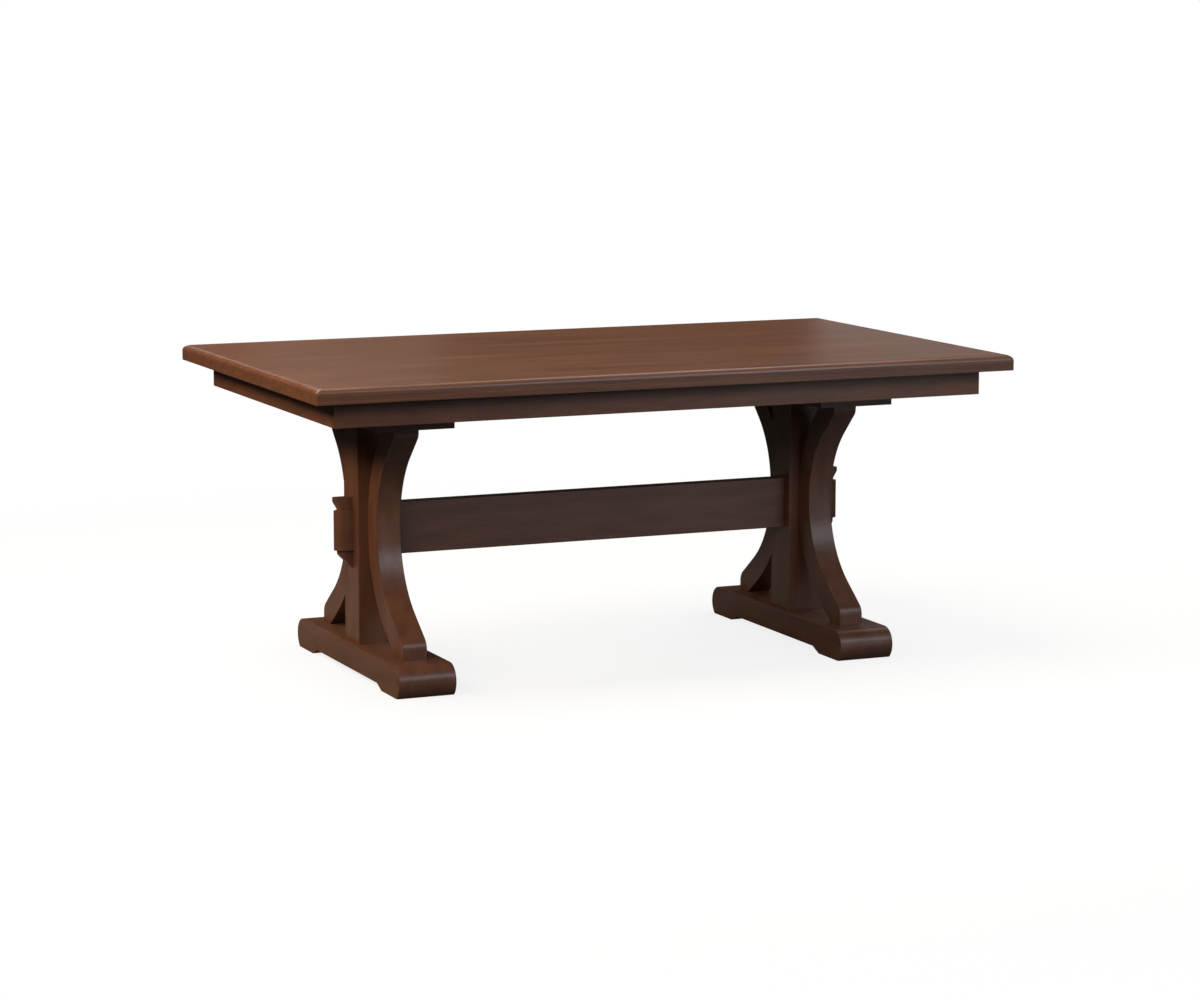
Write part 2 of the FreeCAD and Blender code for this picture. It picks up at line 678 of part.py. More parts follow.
def make_stretcher():
    """A rail shouldered against the posts, on a core whose half-round ends pass through them."""
    label = "stretcher"
    body = make_body(label)
    half_thickness = "sizes.stretcher_thickness / 2"
    rail = make_sketch(body, "XY_Plane", "sizes.stretcher_level")
    end_x = "places.post_inner_x"
    draw_outline(rail, [("-" + end_x, "-" + half_thickness), (end_x, "-" + half_thickness),
                        (end_x, half_thickness), ("-" + end_x, half_thickness)])
    pad = make_pad(body, rail, "sizes.stretcher_height")
    levels = (value("sizes.stretcher_level"), value("sizes.stretcher_level + sizes.stretcher_height"))
    round_edges(body, pad, lambda point: near(abs(point.y), half_thickness)
                and min(abs(point.z - level) for level in levels) < 1e-4, "sizes.stretcher_round")
    core = make_sketch(body, "XY_Plane", "places.tenon_bottom")
    round_x = "places.tenon_round_x"
    corners = [("-" + round_x, "-" + half_thickness), (round_x, "-" + half_thickness),
               ("places.tenon_end", "0"), (round_x, half_thickness),
               ("-" + round_x, half_thickness), ("-places.tenon_end", "0")]
    right, left = (round_x, "0"), ("-" + round_x, "0")
    draw_outline(core, corners, {1: (right, half_thickness), 2: (right, half_thickness),
                                 4: (left, half_thickness), 5: (left, half_thickness)})
    make_pad(body, core, "sizes.tenon_height")
    slots = make_sketch(body, "XY_Plane", "places.stretcher_middle_z")
    for _, side in SIDES:
        draw_key_plan(slots, side, "sizes.key_depth + sizes.drill_gap", "sizes.drill_gap",
                      "sizes.key_slot_relief")
    make_pocket(body, slots, "sizes.stretcher_height")
    keep(body, label)


def draw_key_plan(sketch, side, depth, room="0", relief="0"):
    """A key's section: flat against the post and half round on the outside."""
    half = "sizes.key_thickness / 2 + %s" % room
    back = signed(side, "places.post_outer_x - %s" % relief)
    round_x = signed(side, "places.post_outer_x + %s - (%s)" % (depth, half))
    tip = signed(side, "places.post_outer_x + %s" % depth)
    corners = [(back, "-(%s)" % half), (round_x, "-(%s)" % half), (tip, "0"),
               (round_x, half), (back, half)]
    draw_outline(sketch, corners, {1: ((round_x, "0"), half), 2: ((round_x, "0"), half)})


def make_key(name, side):
    """An upright key: a straight shaft cut to a point below and flared to a rim above."""
    label = "key_" + name
    body = make_body(label)
    shaft = make_sketch(body, "XY_Plane", "places.key_bottom")
    draw_key_plan(shaft, side, "sizes.key_depth")
    make_pad(body, shaft, "places.key_flare_z - places.key_bottom")
    neck = make_sketch(body, "XY_Plane", "places.key_flare_z")
    draw_key_plan(neck, side, "sizes.key_depth")
    brim = make_sketch(body, "XY_Plane", "places.key_rim_z")
    draw_key_plan(brim, side, "sizes.key_head_depth")
    flare = body.newObject("PartDesign::AdditiveLoft", body.Name + "_flare")
    flare.Profile = neck
    flare.Sections = [brim]
    flare.Ruled = True
    doc.recompute()
    rim = make_sketch(body, "XY_Plane", "places.key_rim_z")
    draw_key_plan(rim, side, "sizes.key_head_depth")
    make_pad(body, rim, "sizes.key_rim_height")
    point = make_sketch(body, "XZ_Plane")
    edge_x = signed(side, "places.post_outer_x + sizes.key_point_edge")
    outer_x = signed(side, "places.post_outer_x + sizes.key_depth")
    draw_outline(point, [(edge_x, "places.key_bottom"), (outer_x, "places.key_bottom"),
                         (outer_x, "places.key_point_z")])
    make_pocket(body, point, "sizes.key_thickness")
    keep(body, label)


for number in range(1, BOARD_COUNT + 1):
    make_board(number)
make_aprons()
for side_name, side in SIDES:
    for end_name, end in ENDS:
        make_corner_block("%s_%s" % (side_name, end_name), side, end)
        make_brace("%s_%s" % (side_name, end_name), side, end)
    make_cleat(side_name + "_inner", signed(side, "places.cleat_inner_x"))
    make_cleat(side_name + "_outer", signed(side, "places.cleat_outer_x"))
    make_plate(side_name, side)
    make_post(side_name, side)
    make_foot(side_name, side)
    make_key(side_name, side)
make_stretcher()

doc.recompute()
for item in doc.Objects:
    if "Invalid" in item.State or "Error" in item.State:
        raise RuntimeError("%s failed to recompute: %s" % (item.Label, item.State))
for node in nodes:
    if node.Shape.isNull() or not node.Shape.isValid():
        raise RuntimeError(node.Label + " has no valid shape")

os.makedirs("parts", exist_ok=True)
for node in nodes:
    node.Shape.exportStep("parts/%s.step" % node.Label)
    print("%-24s %2d solids %12.0f mm3" % (node.Label, len(node.Shape.Solids), node.Shape.Volume))
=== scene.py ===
"""Trestle dining table in dark stained maple: finishes, eased edges, screws and studio.

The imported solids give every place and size. Lengths are in metres, apart from the camera's lens and
sensor. The table's length runs along X, its width along Y, and Z is up.
"""

import math

import bmesh
import bpy
from bpy.props import FloatProperty, FloatVectorProperty, PointerProperty
from bpy.types import Operator, Panel, PropertyGroup
from mathutils import Euler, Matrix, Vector


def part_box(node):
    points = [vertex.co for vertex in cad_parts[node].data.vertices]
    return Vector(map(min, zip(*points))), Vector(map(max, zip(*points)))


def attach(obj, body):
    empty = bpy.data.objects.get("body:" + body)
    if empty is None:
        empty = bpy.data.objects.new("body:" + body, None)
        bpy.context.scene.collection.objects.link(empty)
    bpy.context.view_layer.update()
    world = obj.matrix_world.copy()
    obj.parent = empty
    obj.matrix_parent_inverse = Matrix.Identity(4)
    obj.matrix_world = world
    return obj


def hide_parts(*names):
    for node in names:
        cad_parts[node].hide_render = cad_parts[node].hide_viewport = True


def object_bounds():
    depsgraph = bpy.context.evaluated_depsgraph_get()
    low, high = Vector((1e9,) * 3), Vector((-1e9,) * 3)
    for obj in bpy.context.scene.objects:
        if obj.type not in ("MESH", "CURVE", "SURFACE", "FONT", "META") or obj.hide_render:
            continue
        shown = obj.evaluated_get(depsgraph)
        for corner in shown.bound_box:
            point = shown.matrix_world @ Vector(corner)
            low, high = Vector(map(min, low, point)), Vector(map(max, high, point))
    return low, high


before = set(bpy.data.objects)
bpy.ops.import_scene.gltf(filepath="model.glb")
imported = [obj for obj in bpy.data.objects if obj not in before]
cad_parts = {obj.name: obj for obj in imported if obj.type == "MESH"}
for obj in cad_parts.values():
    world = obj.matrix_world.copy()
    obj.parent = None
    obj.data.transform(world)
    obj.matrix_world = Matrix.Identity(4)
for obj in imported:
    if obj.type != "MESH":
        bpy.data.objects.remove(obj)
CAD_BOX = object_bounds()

bl_info = {
    "name": "Trestle dining table",
    "version": (1, 0, 0),
    "blender": (4, 5, 0),
    "location": "View3D > Sidebar > Table",
    "description": "Dresses the packed solids of a trestle table and sets up its studio",
    "category": "Object",
}

MM = 0.001
BODY = "root"
SIDES = ("left", "right")
ENDS = ("front", "back")


def linear(colour):
    """Linear red, green and blue of an sRGB hex colour such as "#6f4630"."""
    parts = [int(colour[place:place + 2], 16) / 255 for place in (1, 3, 5)]
    return tuple(part / 12.92 if part <= 0.04045 else ((part + 0.055) / 1.055) ** 2.4 for part in parts)


def add_node(tree, kind, settings=None, inputs=None):
    """Add a node, set its attributes, and set or link its inputs."""
    node = tree.nodes.new(kind)
    for key, content in (settings or {}).items():
        setattr(node, key, content)
    for key, content in (inputs or {}).items():
        if isinstance(content, bpy.types.NodeSocket):
            tree.links.new(content, node.inputs[key])
        else:
            node.inputs[key].default_value = content
    return node


class TABLE_PG_wood(PropertyGroup):
    """Stain, lacquer and figure of the maple."""

    early_colour: FloatVectorProperty(
        name="Early wood", description="Stained colour of the pale part of each growth ring",
        subtype="COLOR", size=3, default=linear("#6c4836"))
    late_colour: FloatVectorProperty(
        name="Late wood", description="Stained colour of the dense part of each growth ring",
        subtype="COLOR", size=3, default=linear("#5a3a2b"))
    fleck_colour: FloatVectorProperty(
        name="Flecks", description="Colour of the stain that collects in the short flecks",
        subtype="COLOR", size=3, default=linear("#40281c"))
    lacquer_roughness: FloatProperty(
        name="Lacquer roughness", description="Satin of the sprayed lacquer", default=0.33, min=0, max=1)
    lacquer_ior: FloatProperty(
        name="Lacquer IOR", description="Index of refraction of the lacquer", default=1.5, min=1, max=2)
    ring_width: FloatProperty(
        name="Ring width", description="Distance between growth rings, two or three times the real one",
        unit="LENGTH", default=7 * MM)
    ring_bend: FloatProperty(
        name="Ring bend", description="How far a growth ring wanders from its line",
        unit="LENGTH", default=22 * MM)
    ring_length: FloatProperty(
        name="Ring length", description="Length over which a growth ring keeps its line",
        unit="LENGTH", default=520 * MM)
    bend_width: FloatProperty(
        name="Bend width", description="Distance across the grain over which growth rings bend together",
        unit="LENGTH", default=42 * MM)
    tone_width: FloatProperty(
        name="Tone width", description="Width of the wide, slightly lighter and darker bands",
        unit="LENGTH", default=56 * MM)
    tone_length: FloatProperty(
        name="Tone length", description="Length of the wide, slightly lighter and darker bands",
        unit="LENGTH", default=1040 * MM)
    fibre_width: FloatProperty(
        name="Fibre width", description="Width of a bundle of fibres, coarser than real so that it shows",
        unit="LENGTH", default=1.75 * MM)
    fibre_length: FloatProperty(
        name="Fibre length", description="Length of a bundle of fibres along the grain",
        unit="LENGTH", default=130 * MM)
    fleck_width: FloatProperty(
        name="Fleck width", description="Width of a fleck, several times a real one so that it shows",
        unit="LENGTH", default=1.6 * MM)
    fleck_length: FloatProperty(
        name="Fleck length", description="Length of a fleck along the grain",
        unit="LENGTH", default=30 * MM)
    streak_width: FloatProperty(
        name="Streak width", description="Width of the broad streaks of the figure",
        unit="LENGTH", default=26 * MM)
    streak_length: FloatProperty(
        name="Streak length", description="Length of the broad streaks of the figure",
        unit="LENGTH", default=150 * MM)
    plank_streak_width: FloatProperty(
        name="Plank streak width", description="Width of the streaks in the planks of the top",
        unit="LENGTH", default=13 * MM)
    plank_streak_length: FloatProperty(
        name="Plank streak length", description="Length of the streaks in the planks of the top",
        unit="LENGTH", default=420 * MM)
    streak_contrast: FloatProperty(
        name="Streak contrast", description="How much streaks lighten and darken the wood",
        subtype="FACTOR", default=0.12, min=0, max=1)
    plank_streak_contrast: FloatProperty(
        name="Plank streak contrast", description="How much streaks lighten and darken the top's planks",
        subtype="FACTOR", default=0.18, min=0, max=1)
    ring_share: FloatProperty(
        name="Ring share", description="How strongly the growth rings show",
        subtype="FACTOR", default=0.25, min=0, max=1)
    plank_ring_share: FloatProperty(
        name="Plank ring share", description="How strongly the growth rings show in the top's planks",
        subtype="FACTOR", default=0.5, min=0, max=1)
    arris: FloatProperty(
        name="Arris", description="Radius to which the sharp edges are sanded",
        unit="LENGTH", default=0.6 * MM)
    trestle_arris: FloatProperty(
        name="Trestle arris", description="Radius of the routed edges of braces and feet",
        unit="LENGTH", default=2.2 * MM)
    top_arris: FloatProperty(
        name="Top arris", description="Depth to which the corners of the top are sanded back",
        unit="LENGTH", default=2 * MM)
    top_roundover: FloatProperty(
        name="Top roundover", description="Radius of the packed roundover of the top",
        unit="LENGTH", default=14 * MM)


class TABLE_PG_screws(PropertyGroup):
    """Lag screws and wood screws, whose heads show from below."""

    zinc_colour: FloatVectorProperty(
        name="Zinc", description="Colour of the zinc plating", subtype="COLOR", size=3,
        default=linear("#b7bab9"))
    dull_zinc_colour: FloatVectorProperty(
        name="Dull zinc", description="Colour of the plating where it has dulled", subtype="COLOR", size=3,
        default=linear("#8f9392"))
    lag_head: FloatProperty(
        name="Lag head", description="Width of a lag screw's hexagon across its corners",
        unit="LENGTH", default=17 * MM)
    lag_head_height: FloatProperty(
        name="Lag head height", description="Height of a lag screw's head",
        unit="LENGTH", default=7 * MM)
    lag_crown: FloatProperty(
        name="Lag crown", description="Fall from the middle of a lag screw's head to its corners",
        unit="LENGTH", default=1.4 * MM)
    lag_shank: FloatProperty(
        name="Lag shank", description="Diameter of a lag screw over its thread",
        unit="LENGTH", default=10 * MM)
    lag_pitch: FloatProperty(
        name="Lag pitch", description="Pitch of a lag screw's thread",
        unit="LENGTH", default=5 * MM)
    screw_head: FloatProperty(
        name="Screw head", description="Diameter of a wood screw's head",
        unit="LENGTH", default=11 * MM)
    screw_head_height: FloatProperty(
        name="Screw head height", description="Height of a wood screw's head",
        unit="LENGTH", default=4 * MM)
    screw_crown: FloatProperty(
        name="Screw crown", description="Fall from the middle of a wood screw's head to its rim",
        unit="LENGTH", default=2.4 * MM)
    screw_shank: FloatProperty(
        name="Screw shank", description="Diameter of a wood screw over its thread",
        unit="LENGTH", default=6 * MM)
    screw_pitch: FloatProperty(
        name="Screw pitch", description="Pitch of a wood screw's thread",
        unit="LENGTH", default=3.6 * MM)
    recess_width: FloatProperty(
        name="Recess width", description="Width of each slot of a wood screw's cross recess",
        unit="LENGTH", default=2 * MM)
    recess_span: FloatProperty(
        name="Recess span", description="Length of each slot of a wood screw's cross recess",
        unit="LENGTH", default=5.6 * MM)


class TABLE_PG_stage(PropertyGroup):
    """Camera, floor and lights."""

    aim: FloatVectorProperty(
        name="Aim", description="Point that the camera looks at", subtype="XYZ", unit="LENGTH", size=3,
        default=(8 * MM, -31 * MM, 395 * MM))
    azimuth: FloatProperty(
        name="Azimuth", description="Camera's turn about the upright axis, 0 in front of the long side",
        subtype="ANGLE", unit="ROTATION", default=math.radians(-23.42))
    elevation: FloatProperty(
        name="Elevation", description="Camera's angle above the horizon",
        subtype="ANGLE", unit="ROTATION", default=math.radians(8.56))
    distance: FloatProperty(
        name="Distance", description="From the camera to the aim", unit="LENGTH",
        default=8.7)
    lens: FloatProperty(
        name="Lens", description="Focal length on a 36 mm wide sensor, in millimetres", default=103)
    floor_radius: FloatProperty(
        name="Floor radius", description="Half the floor's width", unit="LENGTH",
        default=20)
    floor_colour: FloatVectorProperty(
        name="Floor", description="Colour of the floor around the table", subtype="COLOR", size=3,
        default=linear("#f2f2f0"))
    bounce_colour: FloatVectorProperty(
        name="Floor bounce", description="Colour of the light that the floor sends up to the table",
        subtype="COLOR", size=3, default=linear("#3c3c3c"))
    shadow: FloatProperty(
        name="Shadow", description="How much of the table's shadow the white floor shows",
        subtype="FACTOR", default=0.16, min=0, max=1)
    shadow_fades: FloatProperty(
        name="Shadow fades", description="Distance from the origin at which the shadow starts to fade",
        unit="LENGTH", default=1.2)
    shadow_ends: FloatProperty(
        name="Shadow ends", description="Distance from the origin at which the shadow ends",
        unit="LENGTH", default=3.4)
    mirrored: FloatProperty(
        name="Mirrored backdrop", description="Brightness of the backdrop in gloss and glass",
        default=0.015)
    fill: FloatProperty(
        name="Fill", description="Strength of the even light from the room", default=0.04)
    warm_colour: FloatVectorProperty(
        name="Warm light", description="Colour of the softboxes at the table's left end",
        subtype="COLOR", size=3, default=linear("#ffe6c6"))
    mild_colour: FloatVectorProperty(
        name="Mild light", description="Colour of the softboxes above and at the near left corner",
        subtype="COLOR", size=3, default=linear("#fff5e0"))
    cool_colour: FloatVectorProperty(
        name="Cool light", description="Colour of the softboxes in front of the table",
        subtype="COLOR", size=3, default=linear("#d8eaff"))
    plain_colour: FloatVectorProperty(
        name="Plain light", description="Colour of the other softboxes",
        subtype="COLOR", size=3, default=linear("#ffffff"))


# Wood

# The most by which one plank's figure is shifted from another's, along the grain and across it.
PLANK_SHIFT = (5.0, 0.3, 0.3)
# From the pith, the middle of the growth rings, to the origin: nothing along the grain, the rest across it.
PITH_TO_ORIGIN = (0.0, 0.135, 0.45)
# The share of a year's growth at which late wood starts and at which it is full.
LATE_WOOD_STARTS = 0.2
LATE_WOOD_FULL = 0.9
# Noise runs from 0 to 1 but seldom leaves this stretch, which is spread over the full range.
NOISE_STRETCH = {"From Min": 0.3, "From Max": 0.7}
# How strongly the bands of tone and the fibres show, beside the growth rings.
TONE_SHARE = 0.5
FIBRE_SHARE = 0.35
# The noise at which a fleck starts and at which it is full, and how dark it is then.
FLECK_STARTS = 0.62
FLECK_FULL = 0.8
FLECK_DARKNESS = 0.45
# The cosine of the angle to the grain at which end grain starts to darken, and how dark it gets.
END_GRAIN_STARTS = 0.75
END_GRAIN_DARKNESS = 0.05
# The lacquer follows the wood: its roughness varies by this much either way, and the fibres and rings
# stand out a little.
ROUGHNESS_SPREAD = 0.05
FIBRE_RELIEF = 0.4
RELIEF_STRENGTH = 0.1
RELIEF_HEIGHT = 0.12 * MM


def shift_planks(tree, along, low, width, number):
    """Coordinates along the grain, shifted by another step in each plank of a row glued edge to edge."""
    across = add_node(tree, "ShaderNodeSeparateXYZ", None, {"Vector": along}).outputs["Y"]
    counted = add_node(tree, "ShaderNodeMapRange", {"clamp": False},
                       {"Value": across, "From Min": low, "From Max": low + width}).outputs["Result"]
    whole = add_node(tree, "ShaderNodeMath", {"operation": "FLOOR"}, {0: counted}).outputs["Value"]
    plank = add_node(tree, "ShaderNodeClamp", None, {"Value": whole, "Min": 0, "Max": number - 1})
    draw = add_node(tree, "ShaderNodeTexWhiteNoise", {"noise_dimensions": "1D"},
                    {"W": plank.outputs["Result"]})
    shifted = add_node(tree, "ShaderNodeVectorMath", {"operation": "MULTIPLY_ADD"},
                       {0: draw.outputs["Color"], 1: PLANK_SHIFT, 2: along})
    return shifted.outputs["Vector"]


def add_noises(tree, along, streak_length, streak_width):
    """The noises that draw the figure, each with cells of its own length and width along the grain."""
    wood = bpy.context.scene.table_wood
    noises = {}
    for label, length, width, detail in (
            ("tone", wood.tone_length, wood.tone_width, 2.0),
            ("bend", wood.ring_length, wood.bend_width, 1.0),
            ("streak", streak_length, streak_width, 2.0),
            ("fibre", wood.fibre_length, wood.fibre_width, 2.0),
            ("fleck", wood.fleck_length, wood.fleck_width, 0.0)):
        cells = add_node(tree, "ShaderNodeMapping", None,
                         {"Vector": along, "Scale": (1 / length, 1 / width, 1 / width)})
        noise = add_node(tree, "ShaderNodeTexNoise", {"noise_dimensions": "3D"},
                         {"Vector": cells.outputs["Vector"], "Scale": 1.0, "Detail": detail})
        noises[label] = noise.outputs
    return noises


def add_late_wood(tree, along, bend):
    """Growth rings round the pith: 0 in early wood and 1 in late wood."""
    wood = bpy.context.scene.table_wood
    bent = add_node(tree, "ShaderNodeVectorMath", {"operation": "MULTIPLY_ADD"},
                    {0: bend, 1: (0, wood.ring_bend, wood.ring_bend), 2: along})
    per_ring = 1 / wood.ring_width
    rings = add_node(tree, "ShaderNodeMapping", None,
                     {"Vector": bent.outputs["Vector"], "Scale": (0, per_ring, per_ring),
                      "Location": [part * per_ring for part in PITH_TO_ORIGIN]})
    years = add_node(tree, "ShaderNodeVectorMath", {"operation": "LENGTH"}, {0: rings.outputs["Vector"]})
    season = add_node(tree, "ShaderNodeMath", {"operation": "FRACT"}, {0: years.outputs["Value"]})
    late = add_node(tree, "ShaderNodeMapRange", {"interpolation_type": "SMOOTHSTEP"},
                    {"Value": season.outputs["Value"], "From Min": LATE_WOOD_STARTS,
                     "From Max": LATE_WOOD_FULL})
    return late.outputs["Result"]


def add_end_grain(tree, turn):
    """How dark the end grain is, from how squarely a face cuts the grain."""
    normal = add_node(tree, "ShaderNodeNewGeometry").outputs["Normal"]
    facing = add_node(tree, "ShaderNodeMapping", {"vector_type": "TEXTURE"},
                      {"Vector": normal, "Rotation": turn})
    end_on = add_node(tree, "ShaderNodeVectorMath", {"operation": "DOT_PRODUCT"},
                      {0: facing.outputs["Vector"], 1: (1, 0, 0)})
    cut_end = add_node(tree, "ShaderNodeMath", {"operation": "ABSOLUTE"}, {0: end_on.outputs["Value"]})
    dark = add_node(tree, "ShaderNodeMapRange", {"interpolation_type": "SMOOTHSTEP"},
                    {"Value": cut_end.outputs["Value"], "From Min": END_GRAIN_STARTS, "From Max": 1.0,
                     "To Max": END_GRAIN_DARKNESS})
    return dark.outputs["Result"]


def make_wood(name, turn, planks=None):
    """Maple, planed and sanded, stained dark brown and sprayed with satin lacquer.

    The eye sees an even brown with faint darker lines along the grain, a few short dark flecks, slightly
    darker end grain and a soft sheen. turn brings the grain to X. planks, the lowest Y, width and number
    of planks glued edge to edge, gives each plank its own figure.
    """
    wood = bpy.context.scene.table_wood
    material = bpy.data.materials.new(name)
    material.use_nodes = True
    tree = material.node_tree
    tree.nodes.clear()
    place = add_node(tree, "ShaderNodeTexCoord").outputs["Object"]
    along = add_node(tree, "ShaderNodeMapping", {"vector_type": "TEXTURE"},
                     {"Vector": place, "Rotation": turn}).outputs["Vector"]
    # The long planks show more of their figure than the short pieces of the trestles.
    if planks:
        along = shift_planks(tree, along, *planks)
        noises = add_noises(tree, along, wood.plank_streak_length, wood.plank_streak_width)
        contrast = wood.plank_streak_contrast
        ring_share = wood.plank_ring_share
    else:
        noises = add_noises(tree, along, wood.streak_length, wood.streak_width)
        contrast = wood.streak_contrast
        ring_share = wood.ring_share
    fibre = noises["fibre"]["Fac"]
    late = add_late_wood(tree, along, noises["bend"]["Color"])

    tone = add_node(tree, "ShaderNodeMapRange", None,
                    {"Value": noises["tone"]["Fac"], **NOISE_STRETCH, "To Max": TONE_SHARE})
    ringed = add_node(tree, "ShaderNodeMath", {"operation": "MULTIPLY_ADD"},
                      {0: late, 1: ring_share, 2: tone.outputs["Result"]})
    figure = add_node(tree, "ShaderNodeMath", {"operation": "MULTIPLY_ADD", "use_clamp": True},
                      {0: fibre, 1: FIBRE_SHARE, 2: ringed.outputs["Value"]})
    figured = add_node(tree, "ShaderNodeMix", {"data_type": "RGBA"},
                       {"Factor": figure.outputs["Value"], "A": (*wood.early_colour, 1),
                        "B": (*wood.late_colour, 1)})
    streak = add_node(tree, "ShaderNodeMapRange", {"interpolation_type": "SMOOTHSTEP"},
                      {"Value": noises["streak"]["Fac"], **NOISE_STRETCH,
                       "To Min": 1 + contrast, "To Max": 1 - contrast})
    streaked = add_node(tree, "ShaderNodeVectorMath", {"operation": "SCALE"},
                        {0: figured.outputs["Result"], "Scale": streak.outputs["Result"]})
    fleck = add_node(tree, "ShaderNodeMapRange", {"interpolation_type": "SMOOTHSTEP"},
                     {"Value": noises["fleck"]["Fac"], "From Min": FLECK_STARTS, "From Max": FLECK_FULL,
                      "To Max": FLECK_DARKNESS})
    dark = add_node(tree, "ShaderNodeMath", {"operation": "MAXIMUM"},
                    {0: fleck.outputs["Result"], 1: add_end_grain(tree, turn)})
    stained = add_node(tree, "ShaderNodeMix", {"data_type": "RGBA"},
                       {"Factor": dark.outputs["Value"], "A": streaked.outputs["Vector"],
                        "B": (*wood.fleck_colour, 1)})

    rough = add_node(tree, "ShaderNodeMapRange", None,
                     {"Value": fibre, "To Min": wood.lacquer_roughness - ROUGHNESS_SPREAD,
                      "To Max": wood.lacquer_roughness + ROUGHNESS_SPREAD})
    relief = add_node(tree, "ShaderNodeMath", {"operation": "MULTIPLY_ADD"},
                      {0: fibre, 1: FIBRE_RELIEF, 2: late})
    bump = add_node(tree, "ShaderNodeBump", None,
                    {"Strength": RELIEF_STRENGTH, "Distance": RELIEF_HEIGHT,
                     "Height": relief.outputs["Value"]})
    shader = add_node(tree, "ShaderNodeBsdfPrincipled", None,
                      {"Base Color": stained.outputs["Result"], "IOR": wood.lacquer_ior,
                       "Roughness": rough.outputs["Result"], "Normal": bump.outputs["Normal"]})
    add_node(tree, "ShaderNodeOutputMaterial", None, {"Surface": shader.outputs["BSDF"]})
    return material


GRAIN_TURNS = {
    "x": (0.0, 0.0, 0.0),
    "y": (0.0, 0.0, math.radians(90)),
    "z": (0.0, math.radians(-90), 0.0),
}


def wood_along(axis):
    """The stained maple with its grain along an axis, made once."""
    name = "stained_maple_along_" + axis
    return bpy.data.materials.get(name) or make_wood(name, GRAIN_TURNS[axis])


def dress_node(node, material):
    """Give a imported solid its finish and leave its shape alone."""
    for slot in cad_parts[node].material_slots:
        slot.material = material


# Faces that meet at less than FLAT are one face, shading breaks at edges over SMOOTH, and an edge over
# SHARP is one to ease.
FLAT = math.radians(0.5)
SMOOTH = math.radians(38)
SHARP = math.radians(60)
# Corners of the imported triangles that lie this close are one.
WELD = 0.001 * MM
# The cosine of the angle to a rail under which an edge runs along it.
PARALLEL = 0.99
# Facets across an eased edge, and the bevel profile that makes it round.
ROUND_SEGMENTS = 3
ROUND_PROFILE = 0.5
# Tilts in degrees of the cuts that take back a corner of the top, from its side up to its upper face.
CORNER_TILTS = range(0, 80, 10)


def smooth_faces(mesh):
    """Smooth shading that stops at edges sharper than any rounded one."""
    mesh.polygons.foreach_set("use_smooth", [True] * len(mesh.polygons))
    mesh.set_sharp_from_angle(angle=SMOOTH)


def add_piece(name, mesh, node):
    """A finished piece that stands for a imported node."""
    piece = bpy.data.objects.new(name, mesh)
    bpy.context.scene.collection.objects.link(piece)
    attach(piece, BODY)
    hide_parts(node)
    return piece


def merge_node(node):
    """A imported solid's mesh with its loose triangles joined."""
    form = bmesh.new()
    form.from_mesh(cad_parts[node].data)
    bmesh.ops.remove_doubles(form, verts=form.verts, dist=WELD)
    return form


def set_in_place(node, form, material):
    """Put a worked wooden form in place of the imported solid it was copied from."""
    form.verts.index_update()
    mesh = bpy.data.meshes.new(node + "_eased")
    mesh.from_pydata([corner.co for corner in form.verts], [],
                     [[corner.index for corner in face.verts] for face in form.faces])
    form.free()
    smooth_faces(mesh)
    mesh.materials.append(material)
    piece = add_piece(node + "_eased", mesh, node)
    # Without this, the rounded edges would bend the shading of the flat faces beside them.
    piece.modifiers.new("even_shading", "WEIGHTED_NORMAL").keep_sharp = True


def round_edges(node, choose, radius, material):
    """Round the chosen edges of a packed wooden solid."""
    form = merge_node(node)
    bmesh.ops.dissolve_limit(form, angle_limit=FLAT, verts=form.verts, edges=form.edges)
    edges = [edge for edge in form.edges if choose(edge)]
    bmesh.ops.bevel(form, geom=edges, offset=radius, segments=ROUND_SEGMENTS, profile=ROUND_PROFILE,
                    affect="EDGES", clamp_overlap=True)
    set_in_place(node, form, material)


def is_sharp(edge):
    """Whether an edge is an arris, not a facet's edge on a round."""
    return edge.calc_face_angle(0) > SHARP


def ease_edges(node, axis, radius):
    """Round every sharp edge of a solid."""
    round_edges(node, is_sharp, radius, wood_along(axis))


def ease_rail(node, axis, radius):
    """Round the sharp edges that run along a rail, and leave its glued ends square."""
    run = Vector([name == axis for name in "xyz"])

    def runs_along(edge):
        first, second = (corner.co for corner in edge.verts)
        return is_sharp(edge) and abs((second - first).normalized().dot(run)) > PARALLEL

    round_edges(node, runs_along, radius, wood_along(axis))


def ease_corners(node, end, material):
    """Take the sharpness off a plank's two corners, from the foot of each up the roundover's mitre."""
    wood = bpy.context.scene.table_wood
    form = merge_node(node)
    roundover = wood.top_roundover
    diagonal = math.sqrt(0.5)
    for side in (-1, 1):
        for degrees in CORNER_TILTS:
            tilt = math.radians(degrees)
            outward = Vector((side * diagonal * math.cos(tilt), end * diagonal * math.cos(tilt),
                              math.sin(tilt)))
            inset = roundover * (1 - math.cos(tilt))
            mitre = Vector((side * (CAD_BOX[1][0] - inset), end * (CAD_BOX[1][1] - inset),
                            CAD_BOX[1][2] - roundover * (1 - math.sin(tilt))))
            cut = bmesh.ops.bisect_plane(form, geom=[*form.verts, *form.edges, *form.faces],
                                         plane_co=mitre - outward * wood.top_arris, plane_no=outward,
                                         clear_outer=True)
            rim = [part for part in cut["geom_cut"] if isinstance(part, bmesh.types.BMEdge)]
            bmesh.ops.edgeloop_fill(form, edges=rim)
    bmesh.ops.recalc_face_normals(form, faces=form.faces)
    set_in_place(node, form, material)


